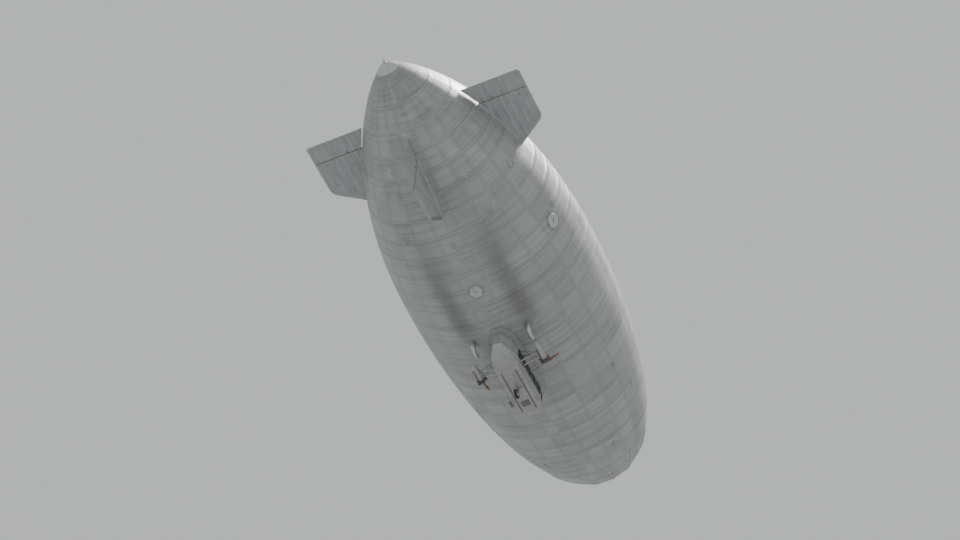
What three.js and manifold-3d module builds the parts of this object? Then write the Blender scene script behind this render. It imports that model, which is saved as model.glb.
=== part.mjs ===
// Small non-rigid airship: a fat streamlined envelope, a cross of four braced fins
// with hinged rudders and elevators, and a closed car under the belly that carries
// two small radial engines on outriggers and one castering landing wheel.
// Millimetres, +Z up, the nose towards -Y, port +X and starboard -X.
// The origin is on the envelope's axis at its fullest section.
import * as THREE from 'three';
import Module from 'manifold-3d';
import { mergeVertices } from 'three/addons/utils/BufferGeometryUtils.js';

const wasm = await Module();
wasm.setup();

// Running and seating gaps
const GAP = 0.3;
const RUN = 0.3;

// Envelope: half length, largest radius, and the exponents of its two half outlines
const HALF_LENGTH = 16200;
const HULL_R = 6000;
const NOSE_POWER = 2.05;
const NOSE_ROOT = 2.28;
const TAIL_POWER = 2.25;
const TAIL_ROOT = 1.3;
const HULL_SIDES = 40;
const HALF_STATIONS = 9;
const SHELL = 10;

// Nose and tail fittings
const BATTENS = 12;
const BATTEN_WIDTH = 90;
const BATTEN_HEIGHT = 40;
const BATTEN_END_Y = -13100;
const NOSE_DISC_R = 640;
const NOSE_CONE_R = 480;
const NOSE_FACE_R = 150;
const NOSE_FACE_Y = -16520;
const TAIL_CAP_Y = 15750;
const TAIL_CAP_HEIGHT = 30;
const TAIL_FACE_R = 90;
const TAIL_FACE_Y = 16360;

// Fins and their moving surfaces, drawn upright with the span along +Z
const FIN_TIP = 6760;
const TOP_FIN_TIP = 5000;
const FIN_ROOT = 2400;
const FIN_TRAILING_Y = 12800;
const FIN_TIP_CHORD = 3440;
const FIN_SWEEP = Math.tan(THREE.MathUtils.degToRad(34));
const FIN_ROOT_HALF = 165;
const FIN_TIP_HALF = 95;
const FIN_REAR_HALF = 70;
const HINGE_Y = 11650;
const SURFACE_NOSE_R = 60;
const SURFACE_EDGE_HALF = 14;
const SURFACE_HULL_GAP = 80;
const HINGE_SLOT = 6;
const HINGE_PIN_R = 14;
const HINGE_LUG_R = 28;
const HINGE_LUG_WIDTH = 60;
const HINGE_NOTCH_GAP = 8;
const STAY_R = 9;
const STAY_SPAN = 6150;
const STAY_ANGLE = 27;
const STRAP_HALF = 110;
const STRAP_HEIGHT = 14;
// name, turn about the hull's axis, moving surface, tip, spans of the hinges, stations of the stays
const FINS = [
  { place: 'top', turn: 0, surface: 'rudder', tip: TOP_FIN_TIP, hinges: [4060, 4780], stays: [] },
  { place: 'port', turn: 90, surface: 'elevator', tip: FIN_TIP, hinges: [4000, 5250, 6500], stays: [9900, 11250] },
  { place: 'bottom', turn: 180, surface: 'rudder', tip: FIN_TIP, hinges: [4000, 5250, 6500], stays: [9900, 11250] },
  { place: 'starboard', turn: 270, surface: 'elevator', tip: FIN_TIP, hinges: [4000, 5250, 6500], stays: [9900, 11250] },
];

// Car under the belly
const CAR_HALF = 740;
const CAR_ROOF = -6260;
const CAR_KEEL = -7950;
const CAR_WALL = 40;
const GLASS = 8;
const FLOOR_THICK = 50;
const PANE_LOW = -7130;
const PANE_HIGH = -6480;
const BOW_POST = 60;
// flat pad on the keel for a cradle or a jack: half width, first and last y, height
const KEEL_PAD = [250, -3850, -3450, 25];
// plan outline, port half from bow to stern: x, y
const CAR_PLAN = [[240, -4950], [560, -4640], [CAR_HALF, -4050], [CAR_HALF, -800], [600, -100], [250, 500]];
// side outline from the bow round the keel to the stern: y, z
const CAR_SIDE = [
  [-4850, CAR_ROOF], [-4950, -7300], [-4850, -7620], [-4650, -7850], [-4300, CAR_KEEL],
  [-1100, CAR_KEEL], [-300, -7750], [520, -7300], [520, CAR_ROOF],
];
// cross section, port half from the roof to the keel: x, z
const CAR_SECTION = [[680, CAR_ROOF], [CAR_HALF, CAR_ROOF - 70], [CAR_HALF, CAR_KEEL + 120], [620, CAR_KEEL]];
// side windows: side (+1 port), first y, last y
const SIDE_WINDOWS = [
  [1, -2840, -2230], [1, -2130, -1520], [1, -1420, -860],
  [-1, -3950, -3360], [-1, -3260, -2670], [-1, -2570, -1980], [-1, -1880, -1290], [-1, -1190, -860],
];

// Handrails along the car's lower edges: radius, first and last y
const RAIL_R = 16;
const RAIL_Y = [-3860, -1100];

// Door in the port wall, hinged at its front edge
const DOOR_Y = [-3650, -2950];
const DOOR_Z = [-7820, -6380];
const DOOR_GAP = 5;
const DOOR_AXIS = [CAR_HALF + 20, DOOR_Y[0] - 5];
const DOOR_PIN_R = 8;
const DOOR_HINGE_Z = [-7550, -6650];
const DOOR_KNUCKLE = 70;

// Engines, outriggers and propellers
const ENGINE_X = 2000;
const ENGINE_Z = -7000;
const NACELLE_FRONT = -1700;
const NACELLE_R = 215;
const NACELLE_LENGTH = 1190;
// radius, distance behind the front
const NACELLE_OUTLINE = [[150, 0], [190, 60], [NACELLE_R, 220], [NACELLE_R - 5, 480], [165, 800], [90, 1060], [20, 1180]];
const CYLINDERS = 5;
const CYLINDER_Y = -1830;
const CYLINDER_R = 62;
const CYLINDER_TOP = 340;
const CYLINDER_RINGS = 3;
const PROP_Y = -2030;
const PROP_R = 950;
const SHAFT_R = 28;
const STRUT_R = 28;
// feet of the outrigger's struts on the car's wall: y, z
const STRUT_FEET = [[-1500, -6400], [-1140, -6400], [-1500, -7400], [-1140, -7400]];

// Landing gear
const LEG_Y = -2500;
const LEG_R = 62;
const LEG_END = -8230;
const STEM_R = 32;
const FORK_TRAIL = 120;
const WHEEL_Z = -8590;
const TYRE_R = 280;
const TYRE_HALF = 80;
const RIM_R = 150;
const AXLE_R = 20;

const ROUND = 16;
const TYRE_SIDES = 24;

// Solid helpers

// Closed mesh with merged vertices and outward faces, as a manifold
function solid(geometry) {
  const plain = geometry.clone();
  plain.deleteAttribute('normal');
  plain.deleteAttribute('uv');
  const merged = mergeVertices(plain, 1e-3);
  const positions = merged.attributes.position.array;
  const source = merged.index.array;
  const triangles = [];
  let volume = 0;
  const corner = [new THREE.Vector3(), new THREE.Vector3(), new THREE.Vector3()];
  for (let i = 0; i < source.length; i += 3) {
    const [a, b, c] = source.subarray(i, i + 3);
    if (a === b || b === c || c === a) {
      continue;
    }
    triangles.push(a, b, c);
    [a, b, c].forEach((index, k) => corner[k].fromArray(positions, index * 3));
    volume += corner[0].dot(corner[1].clone().cross(corner[2]));
  }
  if (volume < 0) {
    for (let i = 0; i < triangles.length; i += 3) {
      [triangles[i], triangles[i + 1]] = [triangles[i + 1], triangles[i]];
    }
  }
  return new wasm.Manifold(new wasm.Mesh({
    numProp: 3,
    vertProperties: new Float32Array(positions),
    triVerts: new Uint32Array(triangles),
  }));
}

function joined(parts) {
  return parts.reduce((whole, part) => whole.add(part));
}

// Box from its low corner to its high corner
function block(low, high) {
  const size = high.map((value, k) => value - low[k]);
  const geometry = new THREE.BoxGeometry(...size);
  geometry.translate(...high.map((value, k) => (value + low[k]) / 2));
  return solid(geometry);
}

// Solid of revolution about the Y axis from [radius, y] pairs
function turned(pairs, sides = ROUND) {
  return solid(new THREE.LatheGeometry(pairs.map(([r, y]) => new THREE.Vector2(r, y)), sides));
}

// Round bar between two points
function bar(from, to, radius, sides = 8) {
  const start = new THREE.Vector3(...from);
  const way = new THREE.Vector3(...to).sub(start);
  const geometry = new THREE.CylinderGeometry(radius, radius, way.length(), sides);
  geometry.translate(0, way.length() / 2, 0);
  geometry.applyQuaternion(new THREE.Quaternion().setFromUnitVectors(
    new THREE.Vector3(0, 1, 0), way.clone().normalize()));
  geometry.translate(...from);
  return solid(geometry);
}

function placed(part, x, y, z) {
  return part.translate([x, y, z]);
}

// Prism of an outline in one plane, drawn along the third axis: 'x' takes (y, z), 'y' (z, x), 'z' (x, y)
function prism(outline, along, low, high) {
  const shape = new THREE.Shape(outline.map(([u, v]) => new THREE.Vector2(u, v)));
  const geometry = new THREE.ExtrudeGeometry(shape, { depth: high - low, bevelEnabled: false });
  geometry.translate(0, 0, low);
  const axes = { x: [0, 0, 1, 1, 0, 0, 0, 1, 0], y: [0, 1, 0, 0, 0, 1, 1, 0, 0], z: [1, 0, 0, 0, 1, 0, 0, 0, 1] };
  const m = axes[along];
  geometry.applyMatrix4(new THREE.Matrix4().set(
    m[0], m[1], m[2], 0, m[3], m[4], m[5], 0, m[6], m[7], m[8], 0, 0, 0, 0, 1));
  return solid(geometry);
}

// Loft through rings of points that all have the same count, closed at both ends by fans
function loft(rings) {
  const count = rings[0].length;
  const points = rings.flat();
  const index = [];
  for (let k = 0; k + 1 < rings.length; k++) {
    for (let i = 0; i < count; i++) {
      const a = k * count + i;
      const b = k * count + (i + 1) % count;
      index.push(a, b, a + count, b, b + count, a + count);
    }
  }
  const last = (rings.length - 1) * count;
  for (let i = 1; i + 1 < count; i++) {
    index.push(0, i + 1, i);
    index.push(last, last + i, last + i + 1);
  }
  const geometry = new THREE.BufferGeometry();
  geometry.setAttribute('position', new THREE.Float32BufferAttribute(points.flat(), 3));
  geometry.setIndex(index);
  geometry.computeVertexNormals();
  return solid(geometry);
}

// Convex outline moved inwards by a distance, or outwards by a negative one
function inset(outline, distance) {
  let area = 0;
  outline.forEach(([u, v], i) => {
    const [s, t] = outline[(i + 1) % outline.length];
    area += u * t - s * v;
  });
  const turn = Math.sign(area);
  const edges = outline.map(([u, v], i) => {
    const [s, t] = outline[(i + 1) % outline.length];
    const length = Math.hypot(s - u, t - v);
    const normal = [-(t - v) / length * turn, (s - u) / length * turn];
    return { normal, offset: normal[0] * u + normal[1] * v + distance };
  });
  return edges.map((edge, i) => {
    const before = edges[(i + edges.length - 1) % edges.length];
    const det = before.normal[0] * edge.normal[1] - before.normal[1] * edge.normal[0];
    return [
      (before.offset * edge.normal[1] - edge.offset * before.normal[1]) / det,
      (edge.offset * before.normal[0] - before.offset * edge.normal[0]) / det,
    ];
  });
}

function mirrored(outline) {
  return [...outline, ...outline.map(([u, v]) => [-u, v]).reverse()];
}

// Radius of a round hole that a round pin of the same number of sides turns in
function boreFor(radius, sides) {
  return radius / Math.cos(Math.PI / sides) + RUN;
}

// Envelope outline

function hullRadius(y) {
  const q = Math.min(Math.abs(y) / HALF_LENGTH, 1);
  return y < 0
    ? HULL_R * (1 - q ** NOSE_POWER) ** (1 / NOSE_ROOT)
    : HULL_R * (1 - q ** TAIL_POWER) ** (1 / TAIL_ROOT);
}

// Stations crowd towards both ends, where the outline turns most
function hullStations() {
  const ys = [];
  for (let k = -HALF_STATIONS; k <= HALF_STATIONS; k++) {
    ys.push(HALF_LENGTH * Math.sin(k / HALF_STATIONS * Math.PI / 2));
  }
  return ys;
}

// [radius, y] pairs from the nose to the tail, moved out along the outline's normal
function hullOutline(grow) {
  const step = 1;
  return hullStations().map((y) => {
    if (Math.abs(y) >= HALF_LENGTH) {
      return [0, y + Math.sign(y) * grow];
    }
    const slope = (hullRadius(y + step) - hullRadius(y - step)) / (2 * step);
    const length = Math.hypot(1, slope);
    return [hullRadius(y) + grow / length, y - grow * slope / length];
  });
}

function hull(grow) {
  return turned(hullOutline(grow), HULL_SIDES);
}

const HULL_CUT = hull(GAP);

function envelope() {
  const outer = hullOutline(0).slice(1, -1);
  const inner = hullOutline(-SHELL).slice(1, -1).reverse();
  return turned([...outer, ...inner, outer[0]], HULL_SIDES);
}

// Battens that stiffen the nose, joined by a disc under the mooring cone
function noseBattens() {
  const planks = [turned([[0, -HALF_LENGTH - 200], [NOSE_DISC_R, -HALF_LENGTH - 200],
    [NOSE_DISC_R, BATTEN_END_Y], [0, BATTEN_END_Y]], HULL_SIDES)];
  for (let k = 0; k < BATTENS / 2; k++) {
    const plank = block([-HULL_R, -HALF_LENGTH - 200, -BATTEN_WIDTH / 2], [HULL_R, BATTEN_END_Y, BATTEN_WIDTH / 2]);
    planks.push(plank.rotate([0, (k + 0.5) * 360 / BATTENS, 0]));
  }
  const skin = hull(BATTEN_HEIGHT).subtract(HULL_CUT);
  return skin.intersect(joined(planks));
}

// Mooring cone with the flat face that locks into a mast's cup
function noseCone() {
  const cone = turned([
    [0, NOSE_FACE_Y], [NOSE_FACE_R, NOSE_FACE_Y], [NOSE_FACE_R, NOSE_FACE_Y + 60], [90, NOSE_FACE_Y + 90],
    [90, NOSE_FACE_Y + 180], [220, NOSE_FACE_Y + 230], [NOSE_CONE_R, NOSE_FACE_Y + 330],
    [NOSE_CONE_R, -15700], [0, -15700],
  ], 24);
  return cone.subtract(hull(BATTEN_HEIGHT + GAP));
}

function tailCap() {
  const skin = hull(TAIL_CAP_HEIGHT).subtract(HULL_CUT);
  const cap = skin.intersect(block([-HULL_R, TAIL_CAP_Y, -HULL_R], [HULL_R, HALF_LENGTH + 200, HULL_R]));
  const boss = turned([[0, 16100], [TAIL_FACE_R, 16100], [TAIL_FACE_R, TAIL_FACE_Y], [0, TAIL_FACE_Y]]);
  return cap.add(boss.subtract(HULL_CUT));
}

// Fins

function finLeading(z) {
  return FIN_TRAILING_Y - FIN_TIP_CHORD - (FIN_TIP - z) * FIN_SWEEP;
}

// One ring of a fin at span z: chord fractions with the share of the full half thickness
function finRing(z, half, rear) {
  const front = finLeading(z);
  const back = HINGE_Y - SURFACE_NOSE_R - HINGE_SLOT;
  const chord = back - front;
  const table = [[0, 0.12], [0.015, 0.4], [0.06, 0.66], [0.16, 0.88], [0.4, 1]];
  const upper = table.map(([part, share]) => [front + part * chord, share * half]);
  upper.push([back, rear]);
  const ring = upper.map(([y, x]) => [x, y, z]);
  return [...ring, ...ring.map(([x, y, s]) => [-x, y, s]).reverse()];
}

function finBlade(tip) {
  const edge = 60;
  return loft([
    finRing(FIN_ROOT, FIN_ROOT_HALF, FIN_REAR_HALF),
    finRing(tip - edge, FIN_TIP_HALF, FIN_REAR_HALF),
    finRing(tip, FIN_TIP_HALF * 0.45, FIN_REAR_HALF * 0.45),
  ]);
}

function fin(tip, hinges, stays) {
  const lugs = hinges.map((span) => {
    const low = span - HINGE_LUG_WIDTH / 2;
    const high = span + HINGE_LUG_WIDTH / 2;
    const eye = bar([0, HINGE_Y, low], [0, HINGE_Y, high], HINGE_LUG_R, ROUND);
    const arm = block([-HINGE_LUG_R * 0.8, HINGE_Y - SURFACE_NOSE_R - HINGE_SLOT - 20, low],
      [HINGE_LUG_R * 0.8, HINGE_Y, high]);
    const hole = bar([0, HINGE_Y, low - 10], [0, HINGE_Y, high + 10], boreFor(HINGE_PIN_R, ROUND), ROUND);
    return eye.add(arm).subtract(hole);
  });
  return joined([joined([finBlade(tip), ...finStays(stays)]).subtract(HULL_CUT), ...lugs]);
}

// Stays from both sides of the fin to straps on the envelope
function finStays(stations) {
  const parts = [];
  for (const y of stations) {
    for (const side of [-1, 1]) {
      const angle = THREE.MathUtils.degToRad(STAY_ANGLE) * side;
      const reach = hullRadius(y) - 40;
      const foot = [reach * Math.sin(angle), y, reach * Math.cos(angle)];
      const strap = block([-STRAP_HALF, y - STRAP_HALF, 0], [STRAP_HALF, y + STRAP_HALF, HULL_R]);
      parts.push(strap.rotate([0, STAY_ANGLE * side, 0]).intersect(hull(STRAP_HEIGHT)));
      parts.push(bar(foot, [0, y, STAY_SPAN], STAY_R, 6));
    }
  }
  return parts;
}

// Rudder or elevator: a round nose about the hinge line, tapering to a thin trailing edge
function controlSurface(tip, hinges) {
  const ring = (z, share) => {
    const arc = [];
    for (let k = 0; k <= 6; k++) {
      const angle = Math.PI * k / 6;
      arc.push([SURFACE_NOSE_R * Math.cos(angle) * share, HINGE_Y - SURFACE_NOSE_R * Math.sin(angle), z]);
    }
    const edge = SURFACE_EDGE_HALF * share;
    return [...arc, [-edge, FIN_TRAILING_Y, z], [edge, FIN_TRAILING_Y, z]];
  };
  const edge = 40;
  const blade = loft([ring(FIN_ROOT, 1), ring(tip - edge, 1), ring(tip, 0.45)]);
  const notches = hinges.map((span) => {
    const reach = HINGE_LUG_WIDTH / 2 + HINGE_NOTCH_GAP;
    return block([-100, HINGE_Y - 100, span - reach], [100, HINGE_Y + 46, span + reach]);
  });
  const pins = hinges.map((span) => {
    const reach = HINGE_LUG_WIDTH / 2 + HINGE_NOTCH_GAP + 10;
    return bar([0, HINGE_Y, span - reach], [0, HINGE_Y, span + reach], HINGE_PIN_R, ROUND);
  });
  const free = blade.subtract(hull(SURFACE_HULL_GAP)).subtract(joined(notches));
  return joined([free, ...pins]);
}

// Car

function carSolid(depth) {
  const plan = prism(inset(mirrored(CAR_PLAN), depth), 'z', -9000, -6000);
  const side = prism(inset(CAR_SIDE, depth), 'x', -2000, 2000);
  const section = prism(inset(mirrored(CAR_SECTION), depth).map(([x, z]) => [z, x]), 'y', -6000, 2000);
  return plan.intersect(side).intersect(section);
}

const CAR_OUTER = carSolid(0);
const CAR_INNER = carSolid(CAR_WALL);
const CAR_CUT = carSolid(-GAP);
const CAR_LINING = carSolid(CAR_WALL + GAP);

// One cutter for each flat pane: the side windows, then the panes round the bow
function windowCutters() {
  const sides = SIDE_WINDOWS.map(([side, first, last]) => {
    const xs = [side * (CAR_HALF - 120), side * (CAR_HALF + 60)].sort((a, b) => a - b);
    return block([xs[0], first, PANE_LOW], [xs[1], last, PANE_HIGH]);
  });
  const corners = mirrored(CAR_PLAN);
  const bow = [[0, 1], [1, 2], [corners.length - 1, 0], [corners.length - 2, corners.length - 1],
    [corners.length - 3, corners.length - 2]];
  const panes = bow.map(([from, to]) => {
    const a = new THREE.Vector2(...corners[from]);
    const b = new THREE.Vector2(...corners[to]);
    const way = b.clone().sub(a);
    const middle = a.add(b).multiplyScalar(0.5);
    const half = way.length() / 2 - BOW_POST;
    const cutter = block([-half, -120, PANE_LOW], [half, 120, PANE_HIGH]);
    return placed(cutter.rotate([0, 0, THREE.MathUtils.radToDeg(way.angle())]), middle.x, middle.y, 0);
  });
  return joined([...sides, ...panes]);
}

function doorBox(gap, outer) {
  return block([0, DOOR_Y[0] + gap, DOOR_Z[0] + gap], [outer, DOOR_Y[1] - gap, DOOR_Z[1] - gap]);
}

// Ears on the door post hold the hinge pins, and the door's knuckles turn on them
function doorEars() {
  const [x, y] = DOOR_AXIS;
  return joined(DOOR_HINGE_Z.map((z) => {
    const reach = DOOR_KNUCKLE / 2 + 2;
    const ears = [[z - reach - 14, z - reach], [z + reach, z + reach + 14]].map(([low, high]) =>
      block([CAR_HALF - 10, y - 40, low], [x + 12, y + 10, high]));
    return joined([...ears, bar([x, y, z - reach - 6], [x, y, z + reach + 6], DOOR_PIN_R, ROUND)]);
  }));
}

function doorKnuckles() {
  const [x, y] = DOOR_AXIS;
  return joined(DOOR_HINGE_Z.map((z) => {
    const low = z - DOOR_KNUCKLE / 2;
    const high = z + DOOR_KNUCKLE / 2;
    const eye = bar([x, y, low], [x, y, high], DOOR_PIN_R + 7, ROUND);
    const strap = block([CAR_HALF - 2, y + 10, low], [CAR_HALF + 9, y + 260, high]);
    const web = block([CAR_HALF - 2, y + 10, low], [x, y + 60, high]);
    const hole = bar([x, y, low - 5], [x, y, high + 5], boreFor(DOOR_PIN_R, ROUND), ROUND);
    return joined([eye, strap, web]).subtract(hole);
  }));
}

const DOOR_PANE = [[DOOR_Y[0] + 100, DOOR_Y[1] - 100], [PANE_LOW, PANE_HIGH]];

function carBody() {
  const shell = CAR_OUTER.subtract(CAR_INNER).subtract(windowCutters()).subtract(doorBox(0, CAR_HALF + 60));
  const [half, first, last, height] = KEEL_PAD;
  const pad = block([-half, first, CAR_KEEL - height], [half, last, CAR_KEEL + CAR_WALL / 2]);
  return joined([shell, doorEars(), pad]);
}

function carDoor() {
  const [[front, back], [low, high]] = DOOR_PANE;
  const panel = CAR_OUTER.subtract(CAR_INNER).intersect(doorBox(DOOR_GAP, CAR_HALF + 60));
  const pane = block([0, front, low], [CAR_HALF + 60, back, high]);
  const handle = joined([
    bar([CAR_HALF - 5, DOOR_Y[1] - 60, -7200], [CAR_HALF + 40, DOOR_Y[1] - 60, -7200], 9, 8),
    bar([CAR_HALF + 40, DOOR_Y[1] - 50, -7200], [CAR_HALF + 40, DOOR_Y[1] - 170, -7200], 9, 8),
  ]);
  return joined([panel.subtract(pane), doorKnuckles(), handle]);
}

function doorGlass() {
  const [[front, back], [low, high]] = DOOR_PANE;
  const middle = CAR_HALF - CAR_WALL / 2;
  return block([middle - GLASS / 2, front + GAP, low + GAP], [middle + GLASS / 2, back - GAP, high - GAP]);
}

// Glazing lies against the inner face of the walls as one strip behind the posts
function glazing(low, high) {
  const strip = CAR_LINING.subtract(carSolid(CAR_WALL + GAP + GLASS));
  return strip.intersect(block([low[0], low[1], PANE_LOW - 30], [high[0], high[1], PANE_HIGH + 30]));
}

// Fairing between the car's roof and the belly
function carFairing() {
  const plan = inset(mirrored(CAR_PLAN), 45);
  return prism(plan, 'z', CAR_ROOF + GAP, -5200).subtract(HULL_CUT);
}

function carFloor() {
  const low = CAR_KEEL + CAR_WALL;
  return CAR_LINING.intersect(block([-1000, -4300, low], [1000, -1000, low + FLOOR_THICK]));
}

const FLOOR_TOP = CAR_KEEL + CAR_WALL + FLOOR_THICK + GAP;

// Seat with its back towards +Y: x, y of its middle and its width
function seat(x, y, width) {
  const half = width / 2;
  const frame = block([-half + 30, -200, 0], [half - 30, 200, 300]);
  const cushion = block([-half, -240, 300], [half, 240, 410]);
  const back = prism([[170, 380], [260, 380], [330, 960], [240, 960]], 'x', -half, half);
  return placed(joined([frame, cushion, back]), x, y, FLOOR_TOP);
}

function instrumentPanel() {
  const desk = prism([[-4650, FLOOR_TOP], [-4560, FLOOR_TOP], [-4560, -7350], [-4450, -7260], [-4470, -7180],
    [-4650, -7180]], 'x', -330, 330);
  return desk.intersect(CAR_LINING);
}

// Spoked hand wheel in the YZ plane
function handWheel(radius) {
  const rim = solid(new THREE.TorusGeometry(radius, 14, 6, 18).rotateY(Math.PI / 2));
  const spokes = [0, 1, 2].map((k) => {
    const angle = Math.PI * k / 3;
    const tip = [0, radius * Math.cos(angle), radius * Math.sin(angle)];
    return bar(tip.map((value) => -value), tip, 9, 6);
  });
  const hub = bar([-35, 0, 0], [35, 0, 0], 34, 12);
  return joined([rim, hub, ...spokes]);
}

function elevatorWheel() {
  const [x, y, z] = [-30, -3850, -7250];
  const post = block([x - 55, y - 40, FLOOR_TOP], [x - 20, y + 40, z + 30]);
  return placed(handWheel(200), x, y, z).add(post);
}

function rudderWheel() {
  const [x, y, z] = [350, -4120, -7090];
  const column = bar([x, y - 20, z], [x, y - 110, FLOOR_TOP + 4], 24, 10);
  const foot = block([x - 60, y - 165, FLOOR_TOP], [x + 60, y - 55, FLOOR_TOP + 14]);
  const wheel = handWheel(170).rotate([0, 0, 90]);
  return joined([placed(wheel, x, y, z), column, foot]);
}

// Rail that the ground crew hold, carried on stubs from the car's lower edge, port side
function handrail() {
  const x = CAR_HALF + 70;
  const z = CAR_KEEL + 60;
  const [first, last] = RAIL_Y;
  const stubs = [0, 1, 2, 3].map((k) => {
    const y = first + 150 + k * (last - first - 300) / 3;
    return bar([CAR_HALF - 160, y, z], [x, y, z], 11, 8);
  });
  return joined([bar([x, first, z], [x, last, z], RAIL_R, 10), ...stubs]).subtract(CAR_CUT);
}

// Engines

// Nacelle about the Y axis, with its skin moved out by a distance
function nacelle(grow) {
  const [nose, ...skin] = NACELLE_OUTLINE;
  return turned([
    [0, NACELLE_FRONT - grow],
    [nose[0] + grow, NACELLE_FRONT - grow],
    ...skin.map(([radius, back]) => [radius + grow, NACELLE_FRONT + back]),
    [0, NACELLE_FRONT + NACELLE_LENGTH + grow],
  ], 24);
}

// Crankcase with finned cylinders and the stub shaft, about the Y axis
function engine() {
  const case_ = turned([
    [0, -1950], [85, -1950], [120, -1900], [135, -1870], [135, NACELLE_FRONT - GAP], [0, NACELLE_FRONT - GAP],
  ], 20);
  const shaft = bar([0, -2040, 0], [0, -1940, 0], SHAFT_R, ROUND);
  const barrel = [[0, 100], [CYLINDER_R, 100]];
  for (let k = 0; k < CYLINDER_RINGS; k++) {
    const base = 150 + k * 44;
    barrel.push([CYLINDER_R, base], [CYLINDER_R + 18, base + 8], [CYLINDER_R, base + 16]);
  }
  barrel.push([CYLINDER_R, 280], [CYLINDER_R + 12, 290], [CYLINDER_R + 6, CYLINDER_TOP], [0, CYLINDER_TOP]);
  const cylinders = [];
  for (let k = 0; k < CYLINDERS; k++) {
    const cylinder = turned(barrel, 10).rotate([90, 0, 0]);
    cylinders.push(placed(cylinder, 0, CYLINDER_Y, 0).rotate([0, k * 360 / CYLINDERS, 0]));
  }
  return joined([case_, shaft, ...cylinders]);
}

// Two-blade propeller about the Y axis; blade sections by radius: radius, chord, thickness, pitch in degrees
function propeller() {
  const sections = [[60, 90, 60, 55], [180, 120, 34, 42], [420, 160, 22, 27], [700, 140, 14, 19], [PROP_R, 60, 7, 15]];
  const outline = [[-0.5, 0], [-0.25, 0.42], [0.1, 0.5], [0.5, 0], [0.1, -0.5], [-0.25, -0.42]];
  const rings = sections.map(([radius, chord, thick, pitch]) => {
    const angle = THREE.MathUtils.degToRad(pitch);
    return outline.map(([u, v]) => {
      const across = u * chord;
      const deep = v * thick;
      return [across * Math.cos(angle) - deep * Math.sin(angle),
        across * Math.sin(angle) + deep * Math.cos(angle), radius];
    });
  });
  const blade = loft(rings);
  const hub = turned([[0, -120], [40, -95], [75, -30], [75, 40], [60, 55], [0, 55]], ROUND);
  const bore = bar([0, -25, 0], [0, 100, 0], boreFor(SHAFT_R, ROUND), ROUND);
  return joined([hub, blade, blade.rotate([0, 180, 0])]).subtract(bore);
}

// Struts from the car's wall to a saddle along the nacelle, port side
function outrigger() {
  const saddle = block([ENGINE_X - NACELLE_R - 40, -1560, ENGINE_Z - 70], [ENGINE_X - 120, -1080, ENGINE_Z + 70]);
  const struts = STRUT_FEET.map(([y, z]) =>
    bar([CAR_HALF - 60, y, z], [ENGINE_X - NACELLE_R - 15, y, ENGINE_Z + Math.sign(z - ENGINE_Z) * 40], STRUT_R, 10));
  const feet = STRUT_FEET.map(([y, z]) =>
    block([CAR_HALF - 60, y - 75, z - 60], [CAR_HALF + 14, y + 75, z + 60]));
  const body = placed(nacelle(GAP), ENGINE_X, 0, ENGINE_Z);
  return joined([saddle, ...struts, ...feet]).subtract(CAR_CUT).subtract(body);
}

// Scoop behind a propeller that feeds the air bags inside the envelope, port side
function airScoop() {
  const x = 1750;
  const y = -250;
  const z = -6350;
  const path = new THREE.CatmullRomCurve3([
    new THREE.Vector3(x, y - 320, z), new THREE.Vector3(x, y - 60, z + 10),
    new THREE.Vector3(x, y + 230, z + 230), new THREE.Vector3(x, y + 320, z + 760),
  ]);
  const circle = new THREE.Shape();
  circle.absarc(0, 0, 125, 0, Math.PI * 2);
  const duct = solid(new THREE.ExtrudeGeometry(circle, { steps: 8, curveSegments: 7, extrudePath: path }));
  const lip = placed(turned([[0, -40], [140, -40], [140, 30], [0, 30]]), x, y - 320, z);
  const mouth = placed(turned([[0, -60], [112, -60], [112, 170], [0, 170]]), x, y - 320, z);
  return duct.add(lip).subtract(HULL_CUT).subtract(mouth);
}

// Landing gear

function landingLeg() {
  const tube = bar([0, LEG_Y, LEG_END], [0, LEG_Y, CAR_KEEL - GAP], LEG_R, ROUND);
  const flange = bar([0, LEG_Y, CAR_KEEL - GAP - 24], [0, LEG_Y, CAR_KEEL - GAP], 170, ROUND);
  const braces = [[260, 0], [-260, 0], [0, 330]].map(([dx, dy]) =>
    bar([dx * 0.2, LEG_Y + dy * 0.2, LEG_END + 110], [dx, LEG_Y + dy, CAR_KEEL - GAP - 10], 20, 8));
  const pads = [[260, 0], [-260, 0], [0, 330]].map(([dx, dy]) =>
    block([dx - 60, LEG_Y + dy - 60, CAR_KEEL - GAP - 16], [dx + 60, LEG_Y + dy + 60, CAR_KEEL - GAP]));
  const bore = bar([0, LEG_Y, LEG_END - 10], [0, LEG_Y, LEG_END + 160], boreFor(STEM_R, ROUND), ROUND);
  return joined([tube, flange, ...braces, ...pads]).subtract(bore).subtract(CAR_CUT);
}

function wheelFork() {
  const axleY = LEG_Y + FORK_TRAIL;
  const crownTop = LEG_END - 5;
  const crownLow = crownTop - 40;
  const crown = block([-128, LEG_Y - 75, crownLow], [128, LEG_Y + 95, crownTop]);
  const stem = bar([0, LEG_Y, crownTop - 10], [0, LEG_Y, LEG_END + 150], STEM_R, ROUND);
  const armOutline = [[LEG_Y - 75, crownTop], [LEG_Y + 95, crownTop], [axleY + 38, WHEEL_Z - 30],
    [axleY + 10, WHEEL_Z - 48], [axleY - 38, WHEEL_Z - 30]];
  const arms = [[-128, -102], [102, 128]].map(([low, high]) => prism(armOutline, 'x', low, high));
  const axle = bar([-140, axleY, WHEEL_Z], [140, axleY, WHEEL_Z], AXLE_R, ROUND);
  return joined([crown, stem, ...arms, axle]);
}

// Turned about the X axis at the wheel's middle
function wheelTurned(pairs, sides) {
  return placed(turned(pairs, sides).rotate([0, 0, 90]), 0, LEG_Y + FORK_TRAIL, WHEEL_Z);
}

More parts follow.
